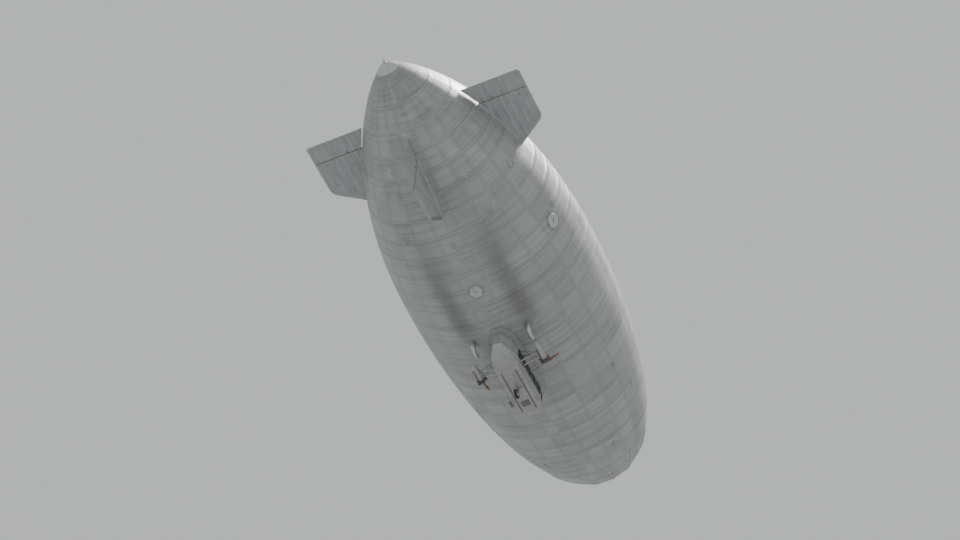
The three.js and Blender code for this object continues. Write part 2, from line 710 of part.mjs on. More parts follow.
function wheelRim() {
  const bore = boreFor(AXLE_R, ROUND);
  return wheelTurned([[bore, -90], [48, -90], [52, -40], [120, -22], [RIM_R, -60], [RIM_R, 60], [120, 22],
    [52, 40], [48, 90], [bore, 90], [bore, -90]], TYRE_SIDES);
}

function tyre() {
  const inner = RIM_R + GAP;
  return wheelTurned([[inner, -55], [190, -TYRE_HALF + 8], [225, -TYRE_HALF], [258, -62], [TYRE_R, -26],
    [TYRE_R, 26], [258, 62], [225, TYRE_HALF], [190, TYRE_HALF - 8], [inner, 55], [inner, -55]], TYRE_SIDES);
}

// Valves on the envelope: a low domed cover standing on the skin at y, at an angle from straight down
function valve(y, angle, radius) {
  const reach = hullRadius(y);
  const cover = turned([[0, -200], [radius, -200], [radius, 30], [radius * 0.8, 62], [radius * 0.3, 80], [0, 80]], 20);
  const down = placed(cover.rotate([-90, 0, 0]), 0, y, -reach);
  return down.rotate([0, angle, 0]).subtract(HULL_CUT);
}

// Materials

const FINISH = {
  fabric: { color: 0xa9acab, roughness: 0.55, metalness: 0.25 },
  finFabric: { color: 0x9da09f, roughness: 0.6, metalness: 0.2 },
  metal: { color: 0x8c9193, roughness: 0.4, metalness: 0.7 },
  paint: { color: 0xb4b7b4, roughness: 0.45, metalness: 0.3 },
  steel: { color: 0x6c7073, roughness: 0.35, metalness: 0.8 },
  dark: { color: 0x3b3d3f, roughness: 0.5, metalness: 0.5 },
  wood: { color: 0x6b4526, roughness: 0.4, metalness: 0 },
  leather: { color: 0x4a3426, roughness: 0.6, metalness: 0 },
  glass: { color: 0xbfd0d0, roughness: 0.05, metalness: 0 },
  rubber: { color: 0x1c1c1c, roughness: 0.8, metalness: 0 },
};

const airship = new THREE.Group();

function add(name, part, finish) {
  const mesh = part.getMesh();
  const geometry = new THREE.BufferGeometry();
  geometry.setAttribute('position', new THREE.BufferAttribute(new Float32Array(mesh.vertProperties), 3));
  geometry.setIndex(new THREE.BufferAttribute(new Uint32Array(mesh.triVerts), 1));
  geometry.computeVertexNormals();
  const node = new THREE.Mesh(geometry, new THREE.MeshStandardMaterial(FINISH[finish]));
  node.name = name;
  airship.add(node);
}

add('envelope', envelope(), 'fabric');
add('nose_battens', noseBattens(), 'metal');
add('nose_cone', noseCone(), 'metal');
add('tail_cap', tailCap(), 'fabric');

for (const { place, turn, surface, tip, hinges, stays } of FINS) {
  add(`fin_${place}`, fin(tip, hinges, stays).rotate([0, turn, 0]), 'finFabric');
  add(`${surface}_${place}`, controlSurface(tip, hinges).rotate([0, turn, 0]), 'finFabric');
}

add('car_body', carBody(), 'paint');
add('car_door', carDoor(), 'paint');
add('car_fairing', carFairing(), 'paint');
add('car_floor', carFloor(), 'wood');
add('glass_front', glazing([-2000, -6000], [2000, -4090]), 'glass');
add('glass_port', glazing([0, -2890], [2000, -830]), 'glass');
add('glass_starboard', glazing([-2000, -3980], [0, -830]), 'glass');
add('glass_door', doorGlass(), 'glass');
add('pilot_seat_port', seat(350, -3560, 480), 'leather');
add('pilot_seat_starboard', seat(-390, -3560, 480), 'leather');
add('bench_seat', seat(0, -1750, 1240), 'leather');
add('instrument_panel', instrumentPanel(), 'dark');
add('elevator_wheel', elevatorWheel(), 'wood');
add('rudder_wheel', rudderWheel(), 'wood');

const railPart = handrail();
const nacellePart = nacelle(0);
const enginePart = engine();
const propellerPart = propeller();
const outriggerPart = outrigger();
const scoopPart = airScoop();
// Blades stand at these turns from upright
const PROP_TURNS = { port: 28, starboard: -62 };
for (const [place, side] of [['port', 1], ['starboard', -1]]) {
  const across = (part) => (side > 0 ? part : part.mirror([1, 0, 0]));
  add(`handrail_${place}`, across(railPart), 'steel');
  add(`nacelle_${place}`, placed(nacellePart, side * ENGINE_X, 0, ENGINE_Z), 'paint');
  add(`engine_${place}`, placed(enginePart, side * ENGINE_X, 0, ENGINE_Z), 'dark');
  add(`propeller_${place}`,
    placed(propellerPart.rotate([0, PROP_TURNS[place], 0]), side * ENGINE_X, PROP_Y, ENGINE_Z), 'wood');
  add(`outrigger_${place}`, across(outriggerPart), 'steel');
  add(`air_scoop_${place}`, across(scoopPart), 'paint');
}

add('landing_leg', landingLeg(), 'steel');
add('wheel_fork', wheelFork(), 'steel');
add('wheel_rim', wheelRim(), 'metal');
add('tyre', tyre(), 'rubber');
add('gas_valve', valve(4200, 62, 420), 'metal');
add('air_valve', valve(3400, 0, 360), 'metal');

export default airship;
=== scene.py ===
import math

import bmesh
import bpy
import numpy as np
from mathutils import Matrix, Vector
from mathutils.bvhtree import BVHTree


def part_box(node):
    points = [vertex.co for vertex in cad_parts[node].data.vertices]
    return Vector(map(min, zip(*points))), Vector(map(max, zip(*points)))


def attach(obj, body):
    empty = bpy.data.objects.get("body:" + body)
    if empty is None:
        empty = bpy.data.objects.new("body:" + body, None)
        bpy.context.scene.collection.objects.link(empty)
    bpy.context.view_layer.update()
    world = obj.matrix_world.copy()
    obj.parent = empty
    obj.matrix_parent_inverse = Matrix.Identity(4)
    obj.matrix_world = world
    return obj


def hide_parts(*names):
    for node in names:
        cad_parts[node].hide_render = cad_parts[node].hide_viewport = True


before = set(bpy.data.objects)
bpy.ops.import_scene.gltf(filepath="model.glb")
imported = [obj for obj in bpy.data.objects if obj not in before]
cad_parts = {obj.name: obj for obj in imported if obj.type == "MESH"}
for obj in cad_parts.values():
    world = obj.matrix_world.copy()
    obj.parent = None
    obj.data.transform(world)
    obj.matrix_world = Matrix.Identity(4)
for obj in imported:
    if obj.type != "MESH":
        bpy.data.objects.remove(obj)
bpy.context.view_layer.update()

PI = math.pi
X, Y, Z = np.eye(3)

# Camera: the photograph's viewing angles in degrees, distances in metres, lens in millimetres
AZIMUTH, ELEVATION, ROLL = 207.54, -54.71, 3.34
DISTANCE, LENS = 150.0, 94.0
AIM_RIGHT, AIM_UP = -1.4, 0.4
FLOOR_Z, FLOOR_HALF = -124.0, 20000.0

# Hull, with the same outline as the solids
HALF_LENGTH, HULL_R = 16.2, 6.0
NOSE_POWER, NOSE_ROOT = 2.05, 2.28
TAIL_POWER, TAIL_ROOT = 2.25, 1.3
GORES = 24
GORE = 2 * PI / GORES
PANEL, PANEL_SEAMS = 1.2, 12
TAPE_HALF, TAPE_LIFT = 0.034, 0.003
BULGE = 0.018

# Nose and tail
BATTENS = 12
BATTEN_END_Y = -13.1
NOSE_FACE_Y = -16.52
TAIL_CAP_Y, TAIL_FACE_Y = 15.75, 16.36

# Fins
FIN_TIP, TOP_FIN_TIP, FIN_ROOT = 6.76, 5.0, 2.4
FIN_TRAILING_Y, FIN_BACK_Y = 12.8, 11.584
FIN_TIP_CHORD = 3.44
FIN_SWEEP = math.tan(math.radians(34))
FIN_ROOT_HALF, FIN_TIP_HALF, FIN_REAR_HALF = 0.165, 0.095, 0.07
TIP_ROUND = 0.3
RIB_PITCH = 0.42
HINGE_Y = 11.65
SURFACE_NOSE_R, SURFACE_EDGE_HALF = 0.06, 0.014
STAY_SPAN, STAY_ANGLE = 6.15, math.radians(27)
LOWER_HINGES, LOWER_STAYS = (4.0, 5.25, 6.5), (9.9, 11.25)
# name, turn about the axis, moving surface, its body, tip, spans of the hinges, span of the horns,
# stations of the stays
FINS = (
    ("top", 0, "rudder_top", "top_rudder", TOP_FIN_TIP, (4.06, 4.78), 4.06, ()),
    ("port", 90, "elevator_port", "port_elevator", FIN_TIP, LOWER_HINGES, 4.625, LOWER_STAYS),
    ("bottom", 180, "rudder_bottom", "bottom_rudder", FIN_TIP, LOWER_HINGES, 4.625, LOWER_STAYS),
    ("starboard", 270, "elevator_starboard", "starboard_elevator", FIN_TIP, LOWER_HINGES, 4.625, LOWER_STAYS),
)

# Car: outer faces in plan (x, y), side (y, z) and section (x, z)
CAR_HALF, CAR_ROOF, CAR_KEEL, CAR_WALL = 0.74, -6.26, -7.95, 0.04
CAR_PLAN = ((0.24, -4.95), (0.56, -4.64), (CAR_HALF, -4.05), (CAR_HALF, -0.8), (0.6, -0.1), (0.25, 0.5))
CAR_SIDE = ((-4.85, CAR_ROOF), (-4.95, -7.3), (-4.85, -7.62), (-4.65, -7.85), (-4.3, CAR_KEEL),
            (-1.1, CAR_KEEL), (-0.3, -7.75), (0.52, -7.3), (0.52, CAR_ROOF))
CAR_SECTION = ((0.68, CAR_ROOF), (CAR_HALF, -6.33), (CAR_HALF, -7.83), (0.62, CAR_KEEL))
# height of each moulding and of the rivets beside it
BELTS = ((-6.35, -6.305), (-7.195, -7.225), (-7.785, -7.755))
PANE_LOW, PANE_HIGH, PANE_ROUND = -7.13, -6.48, 0.06
BOW_POST = 0.06
# side, first and last station of each side window
SIDE_WINDOWS = ((1, -2.84, -2.23), (1, -2.13, -1.52), (1, -1.42, -0.86), (-1, -3.95, -3.36),
                (-1, -3.26, -2.67), (-1, -2.57, -1.98), (-1, -1.88, -1.29), (-1, -1.19, -0.86))
# side, places in plan (x, y) of its butt straps; x is mirrored for starboard
SEAM_STRAPS = ((1, ((CAR_HALF, -3.78), (CAR_HALF, -2.18), (CAR_HALF, -1.0), (0.62, -4.53), (0.685, -0.5))),
               (-1, ((CAR_HALF, -3.78), (CAR_HALF, -2.62), (CAR_HALF, -1.5), (0.62, -4.53), (0.685, -0.5))))
DOOR_Y, DOOR_Z, DOOR_GAP = (-3.65, -2.95), (-7.82, -6.38), 0.005
DOOR_AXIS, DOOR_HINGE_Z, DOOR_KNUCKLE = (0.76, -3.655), (-7.55, -6.65), 0.07
KEEL_PAD = (0.25, -3.85, -3.45, 0.025)
RAIL_Y = (-3.86, -1.1)
FLOOR_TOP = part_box("car_floor")[1].z + 0.001
ELEVATOR_WHEEL, RUDDER_WHEEL = (-0.03, -3.85, -7.25), (0.35, -4.12, -7.09)

# Engines
ENGINE_X, ENGINE_Z = 2.0, -7.0
CYLINDERS, CYLINDER_Y = 5, -1.83
PROP_Y, PROP_R, PROP_TIP = -2.03, 0.95, 0.06
# radius, chord, thickness, pitch in degrees
PROP_SECTIONS = ((0.06, 0.09, 0.06, 55), (0.18, 0.12, 0.034, 42), (0.42, 0.16, 0.022, 27),
                 (0.7, 0.14, 0.014, 19), (0.95, 0.06, 0.007, 15))
PROP_TURNS = {"port": 28, "starboard": -62}
LAYER = 0.011
STRUT_Y, STRUT_Z = (-1.5, -1.14), (-6.4, -7.4)
SCOOP_X = 1.75

# Landing gear
LEG_Y, LEG_END = -2.5, -8.23
FORK_TRAIL, WHEEL_Z = 0.12, -8.59

# Fittings on the hull: station and degrees from the top towards port
HANDLING_PATCHES = ((-11.4, 150), (-11.4, 210), (-6.2, 128), (-6.2, 232), (7.2, 150), (7.2, 210))
INSPECTION_DISCS = ((-8.6, 118), (-8.6, 242), (8.4, 118), (8.4, 242))


# Shapes


def unit(v):
    v = np.asarray(v, float)
    return v / np.maximum(np.linalg.norm(v, axis=-1, keepdims=True), 1e-12)


def turn_y(degrees):
    """Turn about the hull's axis that takes up (+Z) towards port (+X)."""
    a = math.radians(degrees)
    return np.array([[math.cos(a), 0, math.sin(a)], [0, 1, 0], [-math.sin(a), 0, math.cos(a)]])


def facing(axis):
    """Columns: two directions across an axis, then the axis."""
    axis = unit(axis)
    side = unit(np.cross(axis, Z if abs(axis[2]) < 0.9 else X))
    return np.stack([side, np.cross(axis, side), axis], 1)


def turns(count, start=0.0):
    """Angles of a full turn in equal steps."""
    return (np.arange(count) + start) * 2 * PI / count


def circle(count, side, over, start=0.0):
    """Points of a full turn from one direction towards another."""
    angles = turns(count, start)
    return np.outer(np.cos(angles), side) + np.outer(np.sin(angles), over)


def spots(count, radius, middle=(0, 0, 0), axis=Y, start=0.0):
    """Places on a circle round an axis."""
    return np.asarray(middle) + radius * circle(count, *facing(axis).T[:2], start)


def lattice(xs, ys, zs):
    """Every place with one of these x, y and z."""
    return np.array(np.meshgrid(xs, ys, zs)).reshape(3, -1).T


def both(half, *middle):
    """Outline of (side, up) points, followed by its mirror image."""
    return [*half, *middle, *((-side, up) for side, up in half[::-1])]


def both_ways(half):
    """Profile of (radius, height) pairs, followed by its mirror image."""
    return [*half, *((radius, -height) for radius, height in half[::-1])]


def dome(share):
    """Height of a round end at a share of its reach."""
    return math.sqrt(max(1 - max(share, 0) ** 2, 0))


def ways_along(path, ring):
    """Directions at the points of a path."""
    return unit(np.roll(path, -1, 0) - np.roll(path, 1, 0) if ring else np.gradient(path, axis=0))


def smooth(points, count):
    """Points along a smooth curve through the given ones."""
    points = np.asarray(points, float)
    padded = np.concatenate([[2 * points[0] - points[1]], points, [2 * points[-1] - points[-2]]])
    found = []
    for t in np.linspace(0, len(points) - 1, count):
        k = min(int(t), len(points) - 2)
        s = t - k
        a, b, c, d = padded[k:k + 4]
        bend, twist = 2 * a - 5 * b + 4 * c - d, 3 * b - a - 3 * c + d
        found.append(b + ((c - a) * s + bend * s ** 2 + twist * s ** 3) / 2)
    return np.array(found)


def linked(name, data):
    made = bpy.data.objects.new(name, data)
    bpy.context.scene.collection.objects.link(made)
    return made


def chamfered_faces():
    """Faces of a box whose corners are three points each, one on each face that meets there."""
    faces = [[3 * k + axis for axis in range(3)] for k in range(8)]
    for axis in range(3):
        b, d = (axis + 1) % 3, (axis + 2) % 3
        here, up, over = 4 >> axis, 4 >> b, 4 >> d
        faces += [[3 * (side + k) + axis for k in (0, up, up + over, over)] for side in (0, here)]
        edges = [(3 * k, 3 * (k + here)) for k in (0, up, over, up + over)]
        faces += [[start + b, end + b, end + d, start + d] for start, end in edges]
    return faces


CORNERS, CHAMFERED = np.array(list(np.ndindex(2, 2, 2))) * 2 - 1, chamfered_faces()


class Shape:
    """Closed surfaces gathered into one piece; each face has a kind, the number of its material."""

    def __init__(self, turn=None, place=(0, 0, 0)):
        self.points, self.faces, self.kinds, self.count = [], [], [], 0
        self.stand(turn, place)

    def stand(self, turn=None, place=(0, 0, 0)):
        """Turn and place of what is added from here on."""
        self.turn, self.place = np.eye(3) if turn is None else turn, np.array(place, float)

    def add(self, points, faces, kinds):
        points = np.asarray(points, float).reshape(-1, 3) @ self.turn.T + self.place
        self.points.append(points)
        self.faces += [[self.count + i for i in face] for face in faces]
        self.kinds += [kinds] * len(faces) if np.isscalar(kinds) else kinds
        self.count += len(points)

    def grid(self, rows, kind=0, ends=True, end_kind=None):
        """Skin over rings of points; ends closes the outer rings."""
        rows = np.asarray(rows, float)
        count, width = rows.shape[:2]
        index = np.arange(count * width).reshape(count, width)
        ahead = np.roll(index, -1, 1)
        faces = np.stack([index[:-1], ahead[:-1], ahead[1:], index[1:]], -1).reshape(-1, 4).tolist()
        kinds = np.broadcast_to(kind, (count - 1, width)).reshape(-1).tolist()
        if ends:
            faces += [index[0][::-1].tolist(), index[-1].tolist()]
            kinds += [kinds[0] if end_kind is None else end_kind] * 2
        self.add(rows, faces, kinds)

    def tube(self, path, radius, sides=10, kind=0, ring=False, flat=1.0, up=None):
        """Tube along a path; radius is one number or one for each point, flat squeezes it across up."""
        path = np.asarray(path, float)
        ways = ways_along(path, ring)
        side = facing(ways[0])[:, 0] if up is None else unit(np.cross(ways[0], up))
        rows = []
        for point, way, r in zip(path, ways, np.broadcast_to(radius, len(path))):
            side = unit(side - way * (side @ way))
            rows.append(point + r * circle(sides, side * flat, np.cross(way, side)))
        self.grid(rows + rows[:1] if ring else rows, kind, not ring)

    def rod(self, start, end, radius, sides=8, kind=1, steps=3):
        """Straight tube."""
        self.tube(np.linspace(start, end, steps), radius, sides, kind)

    def lathe(self, pairs, place=(0, 0, 0), axis=Y, sides=24, kind=0, closed=False):
        """Solid of revolution of (radius, height) pairs; closed joins the last pair to the first."""
        side, over, up = facing(axis).T
        ring = circle(sides, side, over)
        rows = [np.asarray(place) + ring * max(r, 4e-4) + up * h for r, h in pairs]
        self.grid(rows + rows[:1] if closed else rows, kind, not closed)

    def band(self, inner, outer, half, bevel=0.0, place=(0, 0, 0), axis=Y, sides=24, kind=1):
        """Ring about its middle with an oblong section, beveled outside."""
        pairs = [(inner, -half), (outer, bevel - half), (outer, half - bevel), (inner, half)]
        self.lathe(pairs, place, axis, sides, kind, True)

    def block(self, middle, half, chamfer=0.004, kind=0, turn=np.eye(3)):
        """Box with chamfered edges about its middle."""
        half = np.array(half, float)
        inset = min(chamfer, half.min() * 0.45) * (1 - np.eye(3))
        points = (CORNERS[:, None] * (half - inset)).reshape(-1, 3)
        self.add(points @ np.asarray(turn).T + middle, CHAMFERED, kind)

    def box(self, low, high, chamfer=0.004, kind=0):
        """Box with chamfered edges between two corners."""
        low, high = np.array(low), np.array(high)
        self.block((low + high) / 2, (high - low) / 2, chamfer, kind)

    def stud(self, place, normal, radius, height, kind=1, sides=6):
        """Low dome, such as a rivet or a bolt head."""
        profile = [(radius, -0.3 * height), (radius, 0.55 * height), (0.6 * radius, height)]
        self.lathe(profile, place, normal, sides, kind)

    def studs(self, places, normals, *rest):
        """Studs with a normal for each or one for all."""
        for place, normal in zip(places, np.broadcast_to(normals, np.shape(places))):
            self.stud(place, normal, *rest)

    def sweep(self, path, ups, profile, kind=0, ring=False):
        """Profile of (side, up) points swept along a path that lies on a surface with these normals."""
        sides = unit(np.cross(ways_along(path, ring), ups))
        rows = [p + np.array(profile) @ np.stack([s, u]) for p, s, u in zip(path, sides, unit(ups))]
        self.grid(rows + rows[:1] if ring else rows, kind, not ring)

    def solid(self, name):
        """The surfaces as a mesh object with its faces pointing out."""
        mesh = bpy.data.meshes.new(name)
        mesh.from_pydata(np.concatenate(self.points).tolist(), [], self.faces)
        mesh.polygons.foreach_set("material_index", np.array(self.kinds, np.int32))
        work = bmesh.new()
        work.from_mesh(mesh)
        bmesh.ops.recalc_face_normals(work, faces=work.faces)
        work.to_mesh(mesh)
        work.free()
        return linked(name, mesh)

    def make(self, name, finish, slot, materials, body="hull", sharp=38):
        """Piece that rides on a body; with a finish it is called NAME_FINISH and stands for the node NAME."""
        piece = self.solid(f"{name}_{finish}" if finish else name)
        for material in materials:
            piece.data.materials.append(material)
        piece.data.shade_smooth()
        piece.data.set_sharp_from_angle(angle=math.radians(sharp))
        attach(piece, body)
        if finish:
            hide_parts(name)
        return piece


# Shaders


class Value:
    """Number from a shader node, for arithmetic."""

    def __init__(self, paint, socket):
        self.paint, self.socket = paint, socket

    def __add__(self, other):
        return self.paint.math("ADD", self, other)

    def __mul__(self, other):
        return self.paint.math("MULTIPLY", self, other)

    def __sub__(self, other):
        return self.paint.math("SUBTRACT", self, other)

    def __rsub__(self, other):
        return self.paint.math("SUBTRACT", other, self)

    def __abs__(self):
        return self.paint.math("ABSOLUTE", self)

    def ramp(self, low, high, out_low=0.0, out_high=1.0):
        """Smooth step from one value to another while this one goes from low to high."""
        numbers = enumerate((self, low, high, out_low, out_high))
        return Value(self.paint, self.paint.node("MapRange", numbers, interpolation_type="SMOOTHSTEP")[0])

    __radd__, __rmul__ = __add__, __mul__


class Paint:
    """A material's node tree, with short calls for the nodes that the materials share."""

    def __init__(self, name):
        self.material = bpy.data.materials.new(name)
        self.material.use_nodes = True
        self.tree = self.material.node_tree
        self.tree.nodes.clear()
        self.place = self.node("TexCoord")["Object"]

    def node(self, kind, inputs=(), **settings):
        """Outputs of a new node whose inputs are given as (name or number, value)."""
        made = self.tree.nodes.new("ShaderNode" + kind)
        for key, value in settings.items():
            setattr(made, key, value)
        for key, value in inputs:
            socket, value = made.inputs[key], getattr(value, "socket", value)
            if isinstance(value, bpy.types.NodeSocket):
                self.tree.links.new(value, socket)
            else:
                socket.default_value = (*value, 1) if socket.type == "RGBA" else value
        return made.outputs

    def math(self, operation, *values):
        return Value(self, self.node("Math", enumerate(values), operation=operation)[0])

    def mix(self, factor, a, b, blend="MIX"):
        return self.node("Mix", ((0, factor), (6, a), (7, b)), data_type="RGBA", blend_type=blend)[2]

    def shaded(self, base, shade):
        return self.mix(1.0, base, self.vector(shade, shade, shade), "MULTIPLY")

    def stretch(self, scale):
        return self.node("VectorMath", ((0, self.place), (1, scale)), operation="MULTIPLY")[0]

    def noise(self, scale, vector=None, detail=4.0, rough=0.55):
        inputs = (("Vector", vector or self.place), ("Scale", scale), ("Detail", detail),
                  ("Roughness", rough))
        return Value(self, self.node("TexNoise", inputs)["Fac"])

    def white(self, dimensions, socket, value):
        return Value(self, self.node("TexWhiteNoise", ((socket, value),),
                                     noise_dimensions=dimensions)["Value"])

    def parts(self):
        return [Value(self, part) for part in self.node("SeparateXYZ", ((0, self.place),))]

    def vector(self, *parts):
        return self.node("CombineXYZ", enumerate(parts))[0]

    def finish(self, height=None, deep=0.001, strength=1.0, **sockets):
        """Principled shader; height drives its bump, deep in metres."""
        inputs = [(key.replace("_", " "), value) for key, value in sockets.items()]
        if height is not None:
            bump = (("Strength", strength), ("Distance", deep), ("Height", height))
            inputs.append(("Normal", self.node("Bump", bump)[0]))
        self.node("OutputMaterial", (("Surface", self.node("BsdfPrincipled", inputs)[0]),))
        return self.material


def toned(colour, share):
    return tuple(c * share for c in colour)


def hull_fabric(name, base, panels):
    """Silver-doped envelope cloth: tone by panel, dirt and painted shade at seams, rain streaks, belly grime.
    """
    p = Paint(name)
    x, y, z = p.parts()
    angle, radius = p.math("ARCTAN2", x, z), p.math("SQRT", x * x + z * z)
    gore, ring = angle * (1 / GORE), (y + PANEL * PANEL_SEAMS) * (1 / PANEL)
    tone = p.white("2D", "Vector", p.vector(p.math("ROUND", gore), p.math("FLOOR", ring)))
    across = (0.5 - abs(gore - p.math("ROUND", gore))) * GORE * radius
    along = (0.5 - abs(p.math("FRACT", ring) - 0.5)) * PANEL
    # darker near the seams: dirt, and painted shade in the dips between the gores and beside the tapes
    dirt = p.math("MINIMUM", across, along).ramp(0.035, 0.17, 1.0, 0.0)
    blotch = p.noise(0.35, detail=6.0)
    streak = p.noise(1.0, p.vector(y * 5.0, angle * 0.9), 5.0)
    belly = z.ramp(-5.6, -2.5, 1.0, 0.0)
    lane = abs(abs(x) - 1.9) + p.noise(1.4, p.stretch((1, 0.25, 1))) * 0.7
    soot = lane.ramp(0.35, 1.5, 1.0, 0.0) * y.ramp(-0.6, 1.2) * belly * y.ramp(2.0, 10.0, 1.0, 0.0)
    shade = 0.9 + tone * (0.17 if panels else 0.04)
    shade = shade * blotch.ramp(0.3, 0.7, 0.92, 1.05) * streak.ramp(0.35, 0.75, 1.05, 0.8)
    grime = (0.2, 0.19, 0.175)
    # the seams darken towards grime here: dirt and painted shade
    colour = p.mix(dirt * (0.3 if panels else 0.12), p.shaded(base, shade), grime)
    colour = p.mix(belly * blotch.ramp(0.35, 0.65, 0.03, 0.2), colour, grime)
    colour = p.mix(soot * 0.5, colour, (0.07, 0.065, 0.06))
    pucker = p.noise(1.0, p.vector(y * 9.0, angle * radius * 9.0), 2.0)
    height = p.noise(160.0, detail=2.0) * 0.06 + pucker * dirt + p.noise(1.1, detail=3.0) * 0.8
    return p.finish(height, 0.006, 0.6, Base_Color=colour, Roughness=blotch.ramp(0.3, 0.7, 0.44, 0.58),
                    Metallic=0.3)


def fin_fabric(name, base):
    """Doped cloth stretched over ribs, with rain and oil streaks along the chord."""
    p = Paint(name)
    x, y, z = p.parts()
    span = p.math("SQRT", x * x + z * z)
    streak = p.noise(1.0, p.vector(span * 7.0, y * 0.8), 5.0)
    blotch = p.noise(0.9, detail=6.0)
    shade = streak.ramp(0.3, 0.72, 1.05, 0.84) * blotch.ramp(0.3, 0.7, 0.93, 1.04)
    front = FIN_TIP_CHORD - (FIN_TRAILING_Y - y) + (FIN_TIP - span) * FIN_SWEEP
    colour = p.mix(front.ramp(0.0, 0.5, 0.25, 0.0), p.shaded(base, shade), (0.25, 0.24, 0.22))
    height = p.noise(220.0, detail=2.0) * 0.1 + p.noise(3.0, detail=3.0)
    return p.finish(height, 0.003, 0.5, Base_Color=colour, Roughness=blotch.ramp(0.3, 0.7, 0.48, 0.62),
                    Metallic=0.25)


def metal(name, base, rough, metallic=0.9, grain=(40, 40, 40), wear=0.25, dark=(0.12, 0.11, 0.1)):
    """Metal with brushed grain, dull patches and dirt; rubber too, with nothing metallic."""
    p = Paint(name)
    brush = p.noise(1.0, p.stretch(grain), 3.0)
    colour = p.mix(p.noise(2.3, detail=6.0, rough=0.62).ramp(0.45, 0.75, 0.0, wear), base, dark)
    colour = p.mix(brush.ramp(0.3, 0.8, 0.0, 0.12), colour, dark)
    roughness = p.noise(5.0, detail=5.0).ramp(0.3, 0.7, rough - 0.08, rough + 0.12)
    height = brush * 0.4 + p.noise(14.0, detail=3.0)
    return p.finish(height, 0.0006, 0.6, Base_Color=colour, Roughness=roughness, Metallic=metallic)


def painted(name, base, rough=0.42, metallic=0.35, chips=0.35, under=(0.3, 0.3, 0.29)):
    """Paint on metal or wood: faint oil-canning, drips, dust low down and small chips."""
    p = Paint(name)
    x, y, z = p.parts()
    drip = p.noise(1.0, p.vector(x * 9.0, y * 9.0, z * 0.8), 5.0)
    patch = p.noise(1.7, detail=6.0)
    shade = drip.ramp(0.35, 0.75, 1.03, 0.84) * patch.ramp(0.3, 0.7, 0.93, 1.05)
    chip = p.noise(36.0, detail=5.0, rough=0.7).ramp(0.66, 0.69) * patch.ramp(0.48, 0.6)
    colour = p.mix(chip * chips, p.shaded(base, shade), under)
    colour = p.mix(z.ramp(-8.1, -7.3, 0.28, 0.0), colour, (0.2, 0.18, 0.15))
    roughness = patch.ramp(0.3, 0.7, rough - 0.05, rough + 0.14)
    height = p.noise(2.6, detail=2.0) * 3.0 + p.noise(60.0, detail=3.0)
    return p.finish(height, 0.0008, 0.6, Base_Color=colour, Roughness=roughness, Metallic=metallic)


def plain_fabric(name, base, weave=260.0, rough=0.8):
    """Cord or piping with a weave and uneven dye."""
    p = Paint(name)
    colour = p.mix(p.noise(6.0, detail=5.0).ramp(0.3, 0.7, 0.0, 0.35), base, toned(base, 0.6))
    return p.finish(p.noise(weave, detail=1.0), 0.0008, 0.8, Base_Color=colour, Roughness=rough)


def wood(name, base, dark, grain, rough):
    """Varnished wood: long grain lines, darker bands and worn varnish."""
    p = Paint(name)
    stretched = p.stretch(grain)
    lines = p.noise(46.0, stretched, 6.0, 0.6)
    colour = p.mix(lines.ramp(0.35, 0.7), base, dark)
    colour = p.mix(p.noise(7.0, stretched, 3.0).ramp(0.35, 0.7, 0.0, 0.4), colour, dark)
    worn = p.noise(5.0, detail=5.0).ramp(0.5, 0.72)
    colour = p.mix(worn * 0.3, colour, (0.4, 0.33, 0.25))
    return p.finish(lines, 0.0005, 0.5, Base_Color=colour, Roughness=rough + worn * 0.25, Coat_Weight=0.4,
                    Coat_Roughness=0.2)


def laminated(name, degrees, base, dark):
    """Blade wood: glued layers square to the shaft, grain along the blade, varnish worn towards the tips."""
    p = Paint(name)
    x, y, z = p.parts()
    c, s = math.cos(math.radians(degrees)), math.sin(math.radians(degrees))
    layers = y * (1 / LAYER)
    tone = p.white("1D", "W", p.math("FLOOR", layers))
    grain = p.noise(1.0, p.vector((x * s + z * c) * 3.0, (x * c - z * s) * 110.0, y * 140.0), 5.0, 0.6)
    edge = abs(p.math("FRACT", layers) - 0.5)
    colour = p.mix(tone * 0.45, base, dark)
    colour = p.mix(grain.ramp(0.4, 0.7, 0.0, 0.5), colour, dark)
    colour = p.mix(edge.ramp(0.44, 0.5, 0.0, 0.7), colour, toned(dark, 0.35))
    return p.finish(grain, 0.0003, 0.4, Base_Color=colour, Roughness=p.noise(6.0).ramp(0.3, 0.7, 0.2, 0.38),
                    Coat_Weight=0.5, Coat_Roughness=0.12)


def leather(name, base):
    """Leather with pebbled grain, creases and rubbed high places."""
    p = Paint(name)
    cells = p.node("TexVoronoi", (("Vector", p.place), ("Scale", 190.0)),
                   feature="DISTANCE_TO_EDGE")["Distance"]
    crease = p.noise(11.0, detail=6.0, rough=0.65)
    rub = p.noise(4.0, detail=4.0)
    colour = p.mix(rub.ramp(0.45, 0.75, 0.0, 0.55), base, toned(base, 2.1))
    colour = p.mix(crease.ramp(0.55, 0.75, 0.0, 0.5), colour, toned(base, 0.4))
    height = Value(p, cells).ramp(0.0, 0.12) + crease * 2.0
    return p.finish(height, 0.0006, 0.7, Base_Color=colour, Roughness=rub.ramp(0.3, 0.7, 0.5, 0.38))


def lamp_glass(name, tint):
    p = Paint(name)
    dirt = p.noise(30.0, detail=4.0)
    colour = p.mix(dirt.ramp(0.5, 0.8, 0.0, 0.4), tint, toned(tint, 0.4))
    return p.finish(dirt, 0.0003, 0.4, Base_Color=colour, Roughness=0.08, Transmission_Weight=0.8, IOR=1.4,
                    Alpha=dirt.ramp(0.4, 0.8, 0.55, 0.85))


